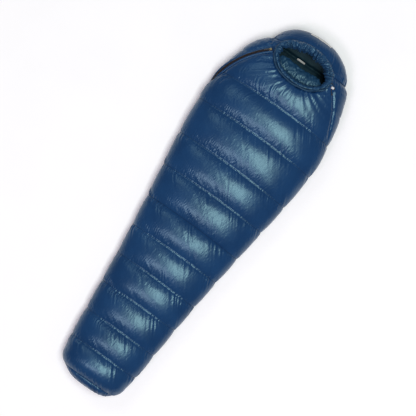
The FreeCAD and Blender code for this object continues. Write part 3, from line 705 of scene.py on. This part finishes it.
def make_shell(zip_line, material):
    """The shell in four pieces from foot to hood. Gives its points, its grid and the hood's piece."""
    grid = shell_grid(zip_line)
    points = settle("shell", grid["start"], grid["rest"], grid["faces"], grid["pinned"],
                    SHELL_PRESSURE, SHELL_FRAMES, SHELL_CAP)
    points, grid = finer(points, grid)
    points = seam_puckers(points, grid, zip_line)
    points = hem_gathers(points, grid)
    points = zip_creases(points, grid, zip_line)
    points = sewn_line(points, grid["faces"], CHEST_SEAM, 0.0075)
    points = sewn_line(points, grid["faces"], NECK_SEAM, 0.006)
    points = lean(points)
    points = press_under_lock(points)
    points[..., 2] = np.maximum(points[..., 2], 0.0)
    rows = grid["faces"][:, 0] // (2 * COLUMNS)
    band = grid["k"][rows]
    chambers = ["down_chamber_%02d" % k for k in range(1, 13)]
    parts = [("shell_foot_end", band == 0, ["foot_panel_shell", "down_foot_cap"]),
             ("shell_legs", (band >= 1) & (band <= 6), ["underside_shell", *chambers[:6], *WALLS[:6]]),
             ("shell_body", (band >= 7) & (band <= 12), ["top_shell", *chambers[6:], *WALLS[6:]]),
             ("shell_hood", band >= 13, ["hood_shell", "down_hood_crown"])]
    for name, mask, nodes in parts:
        piece = mesh_object(name, points, grid["faces"][mask], material)
        if name in ("shell_foot_end", "shell_hood"):
            close_pole(piece, name)
        belongs(piece, "bag", "shell_cloth", *nodes)
    return points, grid, piece


def close_pole(piece, name):
    """Closes the small ring at the end of the foot or the hood with a fan of faces."""
    bm = bmesh.new()
    bm.from_mesh(piece.data)
    end = min if name == "shell_foot_end" else max
    target = end(v.co.y for v in bm.verts)
    ring = [e for e in bm.edges if e.is_boundary and all(abs(v.co.y - target) < 0.004 for v in e.verts)]
    bmesh.ops.holes_fill(bm, edges=ring, sides=0)
    big = [f for f in bm.faces if len(f.verts) > 4]
    bmesh.ops.poke(bm, faces=big)
    for face in bm.faces:
        face.smooth = True
    bm.to_mesh(piece.data)
    bm.free()


# ------------------------ face opening

def make_hem(material, thread):
    """The drawcord's tunnel: a gathered binding with two rows of stitches and two grooves."""
    angle, turn = turns(420), turns(28)
    gather = folds(angle, 30, 62)
    radius = HEM_R * (1.02 - 0.16 * np.exp(-((turn[None, :] - 1.9) / 0.22) ** 2)
                      - 0.10 * np.exp(-((turn[None, :] - 0.8) / 0.22) ** 2)
                      + 0.20 * (gather[:, None] - 0.5) * (0.6 + 0.4 * np.cos(turn[None, :])))
    centre = hem_point(angle, inward=0.0018 * wobble_loop(angle, 3, 11),
                       up=0.0022 * wobble_loop(angle, 4, 17))
    points = hem_tube(angle, centre, radius, turn)
    hem = mesh_object("face_hem_binding", points, grid_faces(len(angle), len(turn), True, True), material)
    belongs(hem, "bag", "shell_cloth", "face_hem", "hood_drawcord")
    angle = np.linspace(0, TURN, 260)
    rows = [hem_tube(angle, hem_point(angle), np.array(HEM_R + 0.0003), np.array([place]))[:, 0]
            for place in (1.12, 1.72)]
    belongs(make_stitches("hem_stitches", rows, 0.0026, 0.0012, thread), "bag", "shell_cloth")


def hem_tube(angle, centre, radius, turn):
    """Points round the hem's centre line, where turn 0 looks away from the opening."""
    out = unit(np.stack([np.cos(angle) / HEM_AXES[0], np.sin(angle) / HEM_AXES[1], 0 * angle], -1))
    up = np.array([0, 0, 1.0])
    return (centre[:, None] + out[:, None] * (radius * np.cos(turn))[..., None] * 0.92
            + up * (radius * np.sin(turn))[..., None])


def beads(name, blocks, material, flip=False):
    """Many small closed bars, each a row of four-cornered rings: blocks is (bar, ring, corner, xyz)."""
    count, rings = blocks.shape[:2]
    one = [(4 * ring + k, 4 * ring + (k + 1) % 4, 4 * ring + 4 + (k + 1) % 4, 4 * ring + 4 + k)
           for ring in range(rings - 1) for k in range(4)]
    last = 4 * rings - 4
    one.extend([(3, 2, 1, 0), (last, last + 1, last + 2, last + 3)])
    faces = np.array(one)[None] + 4 * rings * np.arange(count)[:, None, None]
    return mesh_object(name, blocks, faces.reshape(-1, 4), material, flip)


def make_stitches(name, lines, long, gap, material, radius=0.0003):
    """Rows of short thread stitches along lines of points."""
    blocks = []
    for line in lines:
        reached = distances(line)
        starts = np.arange(0, reached[-1] - long, long + gap)
        a, b = (points_on(line, reached, s) for s in (starts, starts + long))
        way = unit(b - a)
        side = unit(np.cross(way, [0.13, 0.21, 0.97]))
        lift = np.cross(side, way)
        rings = []
        for share, thick in ((0.0, 0.35), (0.25, 1.0), (0.75, 1.0), (1.0, 0.35)):
            middle = a * (1 - share) + b * share
            rings.append(np.stack([middle + radius * thick * (side * math.cos(turn) + lift * math.sin(turn))
                                   for turn in (turns(4) + TURN / 8)], 1))
        blocks.append(np.stack(rings, 1))
    return beads(name, np.concatenate(blocks), material)


def make_seam_stitches(points, grid, thread):
    """The thread in the bottom of every seam, over the top and down both sides, thick and very dark: real
    stitching that also paints the shade in the seam valleys.
    """
    lines = []
    last = len(SEAMS) + 1
    for row in np.flatnonzero((grid["u"] == 0) & (grid["k"] >= 1) & (grid["k"] <= last)):
        k = grid["k"][row]
        if k == last - 1:
            continue
        line = np.roll(points[row], points.shape[1] // 2, axis=0)
        top = 0.185 if k == last else 1.0
        shown = line[(line[:, 2] > 0.02) & (line[:, 2] < top) & (hem_radius(line) > 1.15)]
        gaps = np.flatnonzero(np.linalg.norm(np.diff(shown, axis=0), axis=1) > 0.04) + 1
        for part in np.split(shown, gaps):
            if len(part) > 3:
                middle = np.array([0, part[:, 1].mean(), 0.09])
                lines.append(part + unit((part - middle) * [1, 0, 1]) * 0.0006)
    stitches = make_stitches("seam_stitches", lines, 0.0036, 0.0008, thread, radius=0.0009)
    belongs(stitches, "bag", "shell_cloth")


def make_rim(material):
    """The puffed facing inside the rim, ruffled by the drawcord, fuller at the crown."""
    around = 480
    angle = turns(around)
    fine = np.linspace(0, 1, 36)
    walked = np.linspace(0, 1, len(RIM_AT_CROWN))
    share = smooth(np.clip(0.5 + 0.95 * np.sin(angle), 0, 1)[:, None])
    profiles = np.stack([RIM_AT_CROWN, RIM_AT_CHIN])
    inward, up = (np.interp(fine, walked, profiles[0, :, k]) * share
                  + np.interp(fine, walked, profiles[1, :, k]) * (1 - share) for k in range(2))
    slant = angle[:, None] + 0.25 * (fine[None] - 0.5) * np.sin(5 * angle + 1)[:, None]
    ruffle = folds(slant, 9, 24, 6) * 0.65 + folds(slant, 28, 52, 5) * 0.35 - 0.42
    body = np.sin(np.pi * fine) ** 0.7
    reach = inward + (0.009 + 0.013 * share) * ruffle * body * np.sin(fine * 2.2)
    height = up + (0.008 + 0.020 * share) * ruffle * body * np.cos(fine * 1.4)
    middle = hem_point(angle)
    points = face_ring(HEM_AXES, reach, angle[:, None], middle[:, 2:3] + height)
    faces = grid_faces(around, len(fine), False, True)
    rest = points.copy()
    rest[..., :2] = (rest[..., :2] - [0, FACE_Y]) * 1.07 + [0, FACE_Y]
    rest[..., 2] = middle[:, 2:3] + height * 1.12
    pinned = np.zeros(points.shape[:2], bool)
    pinned[:, [0, -1]] = True
    normal = normals_of(points, faces)
    if (normal[:, len(fine) // 2, :2] * (points[:, len(fine) // 2, :2] - [0, FACE_Y])).sum() > 0:
        faces = faces[:, ::-1]
    points = settle("rim", points, rest, faces, pinned, 4.0, 8, 0.003)
    points = crumple(points, faces, 0.018, 0.055, (0.0026 + 0.0044 * share) * body * (1 - 0.6 * fine))
    rim = mesh_object("face_rim_ruffle", points, faces, material)
    belongs(rim, "bag", "shell_cloth")


def make_collar(name, nodes, material, centre_y, z, half_span, rise, half_depth, half_height, fit=None):
    """A stuffed roll across the neck, puckered along its drawcord."""
    radius = (half_span**2 + rise**2) / (2 * rise)
    half_angle = math.asin(half_span / radius)
    rows, across = 110, 48
    u = np.linspace(-1, 1, rows)
    turn = turns(across)
    bend = u * half_angle
    close = (1 - abs(u) ** 5 * 0.985) ** (1 / 3.0)
    middle = np.stack([radius * np.sin(bend), centre_y + radius * (1 - np.cos(bend)), np.full(rows, z)], -1)
    out = np.stack([np.sin(bend), -np.cos(bend), 0 * bend], -1)
    fold = folds(np.pi * u, 16, 30)[:, None] * 0.6 + folds(np.pi * u, 34, 52)[:, None] * 0.4
    swell = 1 - 0.22 * (1 - fold)
    depth = half_depth * close[:, None] * (1 - 0.10 * (1 - fold)) * np.cos(turn)
    height = half_height * close[:, None] * swell * np.sign(np.sin(turn)) * abs(np.sin(turn)) ** 0.9
    points = middle[:, None] + out[:, None] * depth[..., None]
    points[..., 2] += height
    if fit:
        away = hem_radius(points, fit)
        inward = np.minimum(1, 1 / np.maximum(away, 1e-6))[..., None]
        points[..., :2] = (points[..., :2] - [0, FACE_Y]) * inward + [0, FACE_Y]
    faces = grid_faces(rows, across)
    normal = normals_of(points, faces)
    if (normal[rows // 2, :, 2] * np.sin(turn)).sum() < 0:
        faces = faces[:, ::-1]
    rest = (points - [0, centre_y, z]) * [1.16, 1.06, 1.10] + [0, centre_y, z]
    pinned = np.zeros(points.shape[:2], bool)
    pinned[[0, 1, -2, -1]] = True
    pinned |= np.sin(turn)[None] < -0.85
    pinned |= (abs(np.cos(turn)) > 0.97)[None]
    start = points + rng.normal(0, 0.0006, points.shape) * ~pinned[..., None]
    points = settle(name, start, rest, faces, pinned, 8.0, 14, 0.012)
    points = crumple(points, faces, 0.016, 0.050, 0.0034)
    collar = mesh_object(name, points, faces, material)
    belongs(collar, "bag", "lining_cloth", *nodes)


def make_lining(material):
    """The inside of the bag, quilted to the same seams. Gives its edge round the face opening too."""
    foot, crown_end, columns = -0.985, 0.988, 150
    y, u, _ = rows_between([foot, *SEAMS, crown_end], 0.0125)
    puff = np.sqrt(np.clip(1 - (2 * u - 1) ** 2, 0, 1))
    inset = 0.0435 + 0.009 * puff
    end = np.minimum(np.clip((y - foot) / 0.05, 0, 1), np.clip((crown_end - y) / 0.05, 0, 1))
    inset = inset + 0.05 * (1 - np.sqrt(1 - (1 - end) ** 2))
    shares = girth_shares(columns, 0.8)
    points, girth = sections(y, inset, inset, inset, shares)
    arc = shares[None] * girth[:, None]
    faces = grid_faces(len(y), columns)
    crease = wobble(arc, 0.03, 0.09, 6) * (0.25 + 0.75 * np.exp(-np.minimum(u, 1 - u)[:, None] * 6)) * 0.0024
    points = points + normals_of(points, faces) * crease[..., None]
    faces, edge, _ = cut_opening(points, faces, FACE_HOLE, 0.11)
    angle = face_angle(points[edge], FACE_HOLE)
    points[edge] = face_ring(FACE_HOLE, 0, angle, points[edge][:, 2])
    lining = mesh_object("lining", points, faces, material, flip=True)
    belongs(lining, "bag", "lining_cloth", "body_lining", "hood_lining")
    return lining, points[edge][np.argsort(angle)]


def make_throat(edge_points, material):
    """The short wall of lining cloth between the rim's facing and the inside of the bag."""
    angle = turns(220)
    found = face_angle(edge_points, FACE_HOLE)
    low = np.interp(np.mod(angle + np.pi, TURN) - np.pi, found, edge_points[:, 2], period=TURN)
    high = hem_point(angle)[:, 2] - RIM_DEPTH
    share = np.linspace(0, 1, 8)
    z = high[:, None] * (1 - share) + np.minimum(low, high - 0.002)[:, None] * share
    bulge = 0.004 * np.sin(np.pi * share)[None] * (folds(angle, 20, 40)[:, None] + 0.2)
    points = face_ring(FACE_HOLE, bulge, angle[:, None], z)
    throat = mesh_object("face_throat", points, grid_faces(len(angle), len(share), False, True), material)
    belongs(throat, "bag", "lining_cloth")


# ------------------------ zip pieces

def make_tapes(zip_line, material):
    s = np.arange(0, zip_line.length, 0.004)
    across = np.array([TAPE_IN, TAPE_IN + 0.0002, TAPE_OUT * 0.5, TAPE_OUT - 0.0003, TAPE_OUT])
    upper = np.array([0.0003, 0.0005, 0.0005, 0.0005, 0.0002])
    for side, sign in (("head", 1), ("foot", -1)):
        b = np.concatenate([across, across[::-1]]) * sign
        n = np.concatenate([upper, -upper[::-1]])
        lift = 0.0002 * wobble(s, 0.02, 0.07, 4)[:, None] * (abs(b) / TAPE_OUT) ** 2
        points = zip_line.at(s[:, None], b, n + lift)
        tape = mesh_object("zip_tape_" + side, points, grid_faces(len(s), len(b)), material, flip=sign > 0)
        belongs(tape, "bag", "zip_tape", "zip_tape_%s_side" % side)


def make_coils(zip_line, material):
    """Two coils whose loops mesh, each loop a bent bead of nylon."""
    start, thick = TAPE_PAST - COIL_PAST, 0.00045
    half, (b, n) = np.array(COIL_HALF), np.array(COIL_LOOP).T
    for side, sign, shift in (("head", 1, 0.0), ("foot", -1, 0.5)):
        places = np.arange(start + shift * COIL_PITCH, zip_line.length - start, COIL_PITCH)[:, None]
        corners = [zip_line.at(places + edge * half, b * sign, n + lift * thick)
                   for edge, lift in ((-1, -1), (-1, 1), (1, 1), (1, -1))]
        coil = beads("zip_coil_" + side, np.stack(corners, 2), material, flip=sign < 0)
        belongs(coil, "bag", "zip_coil", "zip_coil_%s_side" % side)


def make_draft_tube(zip_line, material):
    """The thin stuffed tube that runs behind the zip."""
    s, turn = np.arange(0.002, zip_line.length, 0.006), turns(18)
    pucker = 1 + 0.10 * wobble(s, 0.02, 0.06, 5)
    close = np.clip(np.minimum(s, zip_line.length - s) / 0.02, 0.05, 1) ** 0.5
    swell = (pucker * close)[:, None]
    points = zip_line.at(s[:, None], 0.0105 * swell * np.cos(turn), -0.0068 + 0.0022 * swell * np.sin(turn))
    tube = mesh_object("zip_draft_baffle", points, grid_faces(len(s), len(turn)), material)
    belongs(tube, "bag", "lining_cloth", "zip_draft_tube")


def make_welts(zip_line, material, thread):
    """The shell's folded edges over the outer part of both tapes, and the stitches that hold them."""
    s = np.arange(0.001, zip_line.length - 0.001, 0.003)
    b, n = np.array(WELT).T
    rows = []
    for side, sign in (("head", 1), ("foot", -1)):
        lift = 0.0004 * wobble(s, 0.012, 0.05, 6)[:, None]
        edge = 0.0004 * wobble(s, 0.02, 0.08, 4)[:, None]
        points = zip_line.at(s[:, None], sign * (b + edge), n + lift * (n > 0.001))
        welt = mesh_object("zip_welt_" + side, points, grid_faces(len(s), len(b)), material, flip=sign < 0)
        belongs(welt, "bag", "shell_cloth")
        rows.append(zip_line.at(s, sign * (0.0084 + edge[:, 0]), 0.0021 + lift[:, 0]))
    belongs(make_stitches("zip_stitches", rows, 0.0026, 0.0012, thread), "bag", "zip_tape")


def make_spring(material):
    """The spring behind the cord lock's plunger, built at one length."""
    share = np.linspace(0, 1, 200)[:, None]
    angle = TURN * SPRING_TURNS * share
    turn = turns(10)
    radial = np.cos(angle) * LOCK_ALONG + np.sin(angle) * np.cross(LOCK_AXIS, LOCK_ALONG)
    rise = SPRING_LOW + (SPRING_HIGH - SPRING_LOW) * share
    middle = LOCK_MIDDLE + SPRING_RADIUS * radial + LOCK_AXIS * rise
    thick = SPRING_WIRE * np.clip(np.minimum(share, 1 - share) / 0.01, 0.05, 1)
    points = (middle[:, None] + (thick * np.cos(turn))[..., None] * radial[:, None]
              + (thick * np.sin(turn))[..., None] * LOCK_AXIS)
    spring = mesh_object("lock_spring", points, grid_faces(len(share), len(turn)), material)
    belongs(spring, "cordlock", "spring_steel", "cordlock_spring")
    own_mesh(spring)


# ------------------------ labels

def thicken(sheet):
    thick = sheet.modifiers.new("thickness", "SOLIDIFY")
    thick.thickness, thick.offset = 0.0006, 1


def make_label(target, material, x_range, y_range, columns=40, rows=12):
    """A woven label laid on the end of the hood, between two heights found on its middle line."""
    tree = BVHTree.FromObject(target, bpy.context.evaluated_depsgraph_get())
    down, towards_foot = Vector((0, 0, -1)), Vector((0, -1, 0))
    top, bottom = (tree.ray_cast(Vector((0, y, 0.5)), down)[0].z for y in y_range)
    points = np.zeros((rows, columns, 3))
    for i, z in enumerate(np.linspace(bottom, top, rows)):
        for j, x in enumerate(np.linspace(*x_range, columns)):
            hit, normal, _, _ = tree.ray_cast(Vector((x, 1.2, z)), towards_foot)
            points[i, j] = hit + (normal if normal.y > 0 else -normal) * 0.0012
    for _ in range(3):
        points[1:-1, 1:-1] = (points[:-2, 1:-1] + points[2:, 1:-1] + points[1:-1, :-2] + points[1:-1, 2:]) / 4
    label = mesh_object("hood_label", points, grid_faces(rows, columns, False), material)
    thicken(label)
    belongs(label, "bag", "crown_label", "crown_label")


def make_tag(lining, material, x_range, y_range):
    """A small woven tag, sewn along its lower edge and standing up a little."""
    tree = BVHTree.FromObject(lining, bpy.context.evaluated_depsgraph_get())
    columns, rows, height = 20, 8, 0.011
    x = np.linspace(*x_range, columns)
    share = np.linspace(0, 1, rows)[:, None]
    base = tree.ray_cast(Vector((x.mean(), y_range[0], 0.12)), Vector((0, 0, -1)))[0].z
    curl = 0.0012 * np.sin(np.linspace(0, 3.5, columns))
    y = y_range[0] + (y_range[1] - y_range[0]) * share**1.3 + curl * share
    points = np.stack(np.broadcast_arrays(x, y, base + 0.001 + height * share), -1)
    tag = mesh_object("care_label", points, grid_faces(rows, columns, False), material)
    thicken(tag)
    belongs(tag, "bag", "inner_label", "inner_label")


# ------------------------ materials

def new_material(name):
    """A node material, with its nodes, links, shader and the object's own coordinates."""
    material = bpy.data.materials.new(name)
    material.use_nodes = True
    nodes, links = material.node_tree.nodes, material.node_tree.links
    return material, nodes, links, nodes["Principled BSDF"], nodes.new("ShaderNodeTexCoord").outputs["Object"]


def node(nodes, kind, **values):
    made = nodes.new(kind)
    for key, value in values.items():
        if key in made.inputs:
            made.inputs[key].default_value = value
        else:
            setattr(made, key, value)
    return made


def noise(nodes, links, coordinates, scale, detail=4.0, roughness=0.55):
    made = node(nodes, "ShaderNodeTexNoise", Scale=scale, Detail=detail, Roughness=roughness)
    links.new(coordinates, made.inputs["Vector"])
    return made.outputs["Fac"]


def ramp(nodes, links, source, stops):
    made = nodes.new("ShaderNodeValToRGB")
    elements = made.color_ramp.elements
    while len(elements) < len(stops):
        elements.new(0.5)
    for element, (place, colour) in zip(elements, stops):
        element.position, element.color = place, (*colour, 1)
    links.new(source, made.inputs["Fac"])
    return made.outputs["Color"]


def spread(nodes, links, source, low, high):
    made = node(nodes, "ShaderNodeMapRange")
    made.inputs["To Min"].default_value, made.inputs["To Max"].default_value = low, high
    links.new(source, made.inputs["Value"])
    return made.outputs["Result"]


def weave(nodes, links, coordinates, pitch):
    """Threads crossing along the bag and round it, as a height."""
    parts = nodes.new("ShaderNodeSeparateXYZ")
    links.new(coordinates, parts.inputs[0])
    girth = node(nodes, "ShaderNodeMath", operation="ADD")
    links.new(parts.outputs["X"], girth.inputs[0])
    links.new(parts.outputs["Z"], girth.inputs[1])
    waves = []
    for source in (parts.outputs["Y"], girth.outputs[0]):
        scaled = node(nodes, "ShaderNodeMath", operation="MULTIPLY")
        scaled.inputs[1].default_value = 2 * math.pi / pitch
        links.new(source, scaled.inputs[0])
        wave = node(nodes, "ShaderNodeMath", operation="SINE")
        links.new(scaled.outputs[0], wave.inputs[0])
        waves.append(wave.outputs[0])
    product = node(nodes, "ShaderNodeMath", operation="MULTIPLY")
    links.new(waves[0], product.inputs[0])
    links.new(waves[1], product.inputs[1])
    return product.outputs[0]


def bump(nodes, links, shader, heights):
    """Chains heights, each (source, strength, distance), into the shader's normal."""
    last = None
    for source, strength, distance in heights:
        made = node(nodes, "ShaderNodeBump", Strength=strength, Distance=distance)
        links.new(source, made.inputs["Height"])
        if last:
            links.new(last, made.inputs["Normal"])
        last = made.outputs["Normal"]
    links.new(last, shader.inputs["Normal"])


def surface(name, dark, light, stops, grain, rough, rough_grain, heights, **settings):
    """Two shades and two roughnesses mixed by noise, (scale, detail, roughness) each, over a chain of bumps.
    heights gives (source, strength, distance) for each bump, from the nodes, links and coordinates."""
    material, nodes, links, shader, place = new_material(name)
    colours = [(stops[0], dark), (stops[1], light)]
    links.new(ramp(nodes, links, noise(nodes, links, place, *grain), colours), shader.inputs["Base Color"])
    roughness = spread(nodes, links, noise(nodes, links, place, *rough_grain), *rough)
    links.new(roughness, shader.inputs["Roughness"])
    bump(nodes, links, shader, heights(nodes, links, place))
    for key, value in settings.items():
        shader.inputs[key.replace("_", " ")].default_value = value
    return material


def nylon(name, dark, light, rough, crinkle=0.11, gloss=0.5):
    """Thin woven nylon: two close shades of dye, crinkles, a fine weave and a soft sheen."""
    def heights(nodes, links, place):
        return [(noise(nodes, links, place, 17.0, 2.0), crinkle, 0.010),
                (noise(nodes, links, place, 85.0, 3.0), crinkle * 0.5, 0.0015),
                (weave(nodes, links, place, 0.0011), 0.07, 0.0002)]

    return surface(name, dark, light, (0.32, 0.68), (7.0, 5.0), rough, (38.0, 3.0), heights,
                   Sheen_Weight=0.06, Sheen_Roughness=0.4, Sheen_Tint=(0.30, 0.50, 0.95, 1),
                   Specular_Tint=(0.58, 0.96, 0.97, 1), Specular_IOR_Level=gloss)


def webbing(name, dark, light, pitch, rough):
    """Coarse dull weave, for tapes, threads, cord and labels."""
    return surface(name, dark, light, (0.3, 0.7), (160.0,), (rough - 0.08, rough + 0.1), (60.0,),
                   lambda nodes, links, place: [(weave(nodes, links, place, pitch), 0.5, 0.0004)])


def plastic(name, dark, light, rough):
    return surface(name, dark, light, (0.35, 0.65), (120.0,), (rough - 0.06, rough + 0.08), (400.0,),
                   lambda nodes, links, place: [(noise(nodes, links, place, 900.0), 0.15, 0.0002)],
                   Specular_IOR_Level=0.5)


def metal(name, dark, light, rough):
    """Plated metal in a dark and a light shade mixed by fine noise, with varied roughness and a fine bump."""
    return surface(name, dark, light, (0.40, 0.72), (240.0, 6.0, 0.65), (rough - 0.1, rough + 0.12), (500.0,),
                   lambda nodes, links, place: [(noise(nodes, links, place, 1400.0), 0.12, 0.0001)],
                   Metallic=1.0)


def dress(material, *names):
    """Gives CAD nodes that stay a better material."""
    for name in names:
        slots = NODES[name].data.materials
        slots.clear()
        slots.append(material)


# ------------------------ light and floor

BAG_MIDDLE = (0, 0, 0.1)
FLOOR_REACH, FLOOR_Z = 14.0, -0.0015


def softbox(name, place, size, radiance, colour):
    """A rectangular lamp aimed at the bag's middle."""
    data = bpy.data.lights.new(name, "AREA")
    data.shape = "RECTANGLE"
    data.size, data.size_y = size
    data.energy = radiance * math.pi * size[0] * size[1]
    data.color = colour
    lamp = bpy.data.objects.new(name, data)
    COLLECTION.objects.link(lamp)
    lamp.location = place
    lamp.rotation_euler = (Vector(BAG_MIDDLE) - Vector(place)).to_track_quat("-Z", "Y").to_euler()
    lamp.visible_camera = False


def make_studio():
    scene = bpy.context.scene
    scene.view_settings.view_transform = "Standard"
    world = bpy.data.worlds.new("studio")
    world.use_nodes = True
    background = world.node_tree.nodes["Background"]
    background.inputs["Color"].default_value = (1.0, 1.0, 1.0, 1)
    background.inputs["Strength"].default_value = 0.15
    scene.world = world
    softbox("key", (1.9, 0.3, 11.0), (6.4, 2.8), 14.2, (0.97, 1.0, 0.98))
    softbox("foot_side", (-0.9, -4.6, 10.4), (3.6, 2.6), 9.5, (1.0, 0.84, 1.0))
    softbox("head_side", (-4.5, 3.2, 8.0), (3.0, 2.5), 2.5, (0.90, 0.96, 1.0))
    material, nodes, links, shader, place = new_material("floor_paper")
    shades = [(0.3, (0.94, 0.94, 0.94)), (0.7, (0.96, 0.96, 0.96))]
    links.new(ramp(nodes, links, noise(nodes, links, place, 3.0), shades), shader.inputs["Base Color"])
    shader.inputs["Roughness"].default_value = 0.9
    shader.inputs["Emission Color"].default_value = (1.0, 1.0, 1.0, 1)
    shader.inputs["Emission Strength"].default_value = 0.10
    corners = [(x * FLOOR_REACH, y * FLOOR_REACH, FLOOR_Z) for x, y in ((-1, -1), (1, -1), (1, 1), (-1, 1))]
    floor = mesh_object("floor", corners, [(0, 1, 2, 3)], material)


# ------------------------ all of it

def main():
    make_camera()
    black = plastic("cord_black", (0.010, 0.010, 0.012), (0.022, 0.022, 0.026), 0.6)
    make_hood_cord(webbing("cord_braid", (0.010, 0.011, 0.014), (0.03, 0.03, 0.036), 0.0012, 0.6))

    shell_cloth = nylon("shell_nylon", (0.0055, 0.034, 0.111), (0.0085, 0.046, 0.139), (0.26, 0.33))
    hem_cloth = nylon("hem_nylon", (0.0040, 0.024, 0.070), (0.0070, 0.036, 0.095), (0.34, 0.44))
    rim_cloth = nylon("rim_nylon", (0.009, 0.042, 0.108), (0.017, 0.062, 0.146), (0.28, 0.38), crinkle=0.3)
    # Lining: the lining's own dark navy with the painted shade of the hood's hollow in it; it also dresses
    # the back collar, the throat and the zip's draft tube
    lining_cloth = nylon("lining_nylon_and_shade", (0.0018, 0.012, 0.022), (0.0035, 0.018, 0.032), (0.45, 0.6),
                         crinkle=0.25, gloss=0.2)
    draft_cloth = nylon("draft_nylon", (0.006, 0.034, 0.080), (0.010, 0.046, 0.104), (0.30, 0.42),
                        crinkle=0.2)
    thread = webbing("thread", (0.006, 0.016, 0.040), (0.014, 0.034, 0.075), 0.0006, 0.6)
    # Seam thread: real stitching, made very dark and thick so it also paints the shade in the deep seam
    # valleys
    seam_thread_and_shade = webbing("seam_thread_and_shade", (0.0022, 0.010, 0.029), (0.005, 0.018, 0.048), 0.0008, 0.85)
    tape = webbing("zip_tape_cloth", (0.008, 0.005, 0.005), (0.020, 0.013, 0.012), 0.0011, 0.75)
    coil = plastic("coil_nylon", (0.012, 0.007, 0.006), (0.030, 0.018, 0.015), 0.35)
    label_cloth = webbing("label_cloth", (0.62, 0.63, 0.62), (0.78, 0.78, 0.76), 0.0009, 0.75)

    zip_line = Zip(TAPE_PAST)
    points, grid, hood = make_shell(zip_line, shell_cloth)
    make_seam_stitches(points, grid, seam_thread_and_shade)
    make_hem(hem_cloth, thread)
    make_rim(rim_cloth)
    make_collar("collar_front", ["draft_collar_front", "collar_drawcord"], draft_cloth, centre_y=0.818,
                z=0.166, half_span=0.128, rise=0.020, half_depth=0.046, half_height=0.020, fit=(0.143, 0.087))
    make_collar("collar_back", ["draft_collar_back"], lining_cloth, centre_y=0.792, z=0.074, half_span=0.160,
                rise=0.026, half_depth=0.034, half_height=0.013)
    lining, edge_points = make_lining(lining_cloth)
    make_throat(edge_points, lining_cloth)
    make_tapes(zip_line, tape)
    make_coils(zip_line, coil)
    make_draft_tube(zip_line, lining_cloth)
    make_welts(zip_line, shell_cloth, thread)
    make_label(hood, label_cloth, x_range=(-0.058, 0.062), y_range=(1.033, 1.043))
    make_tag(lining, label_cloth, x_range=(-0.046, 0.0), y_range=(0.902, 0.909))

    gunmetal = metal("dark_metal_plate", (0.035, 0.037, 0.042), (0.16, 0.16, 0.17), 0.38)
    brass = metal("pull_brass", (0.20, 0.155, 0.085), (0.55, 0.44, 0.25), 0.34)
    steel = metal("spring_wire", (0.35, 0.35, 0.36), (0.62, 0.62, 0.63), 0.28)
    silver = plastic("lock_silver", (0.62, 0.63, 0.65), (0.76, 0.77, 0.79), 0.22)
    dress(brass, "upper_slider", "lower_slider")
    dress(gunmetal, "upper_slider_pull", "lower_slider_pull", "zip_stops", "cord_eyelet")
    make_spring(steel)
    dress(silver, "cordlock_barrel")
    dress(black, "cordlock_plunger", "hood_cord_end")
    make_studio()


main()
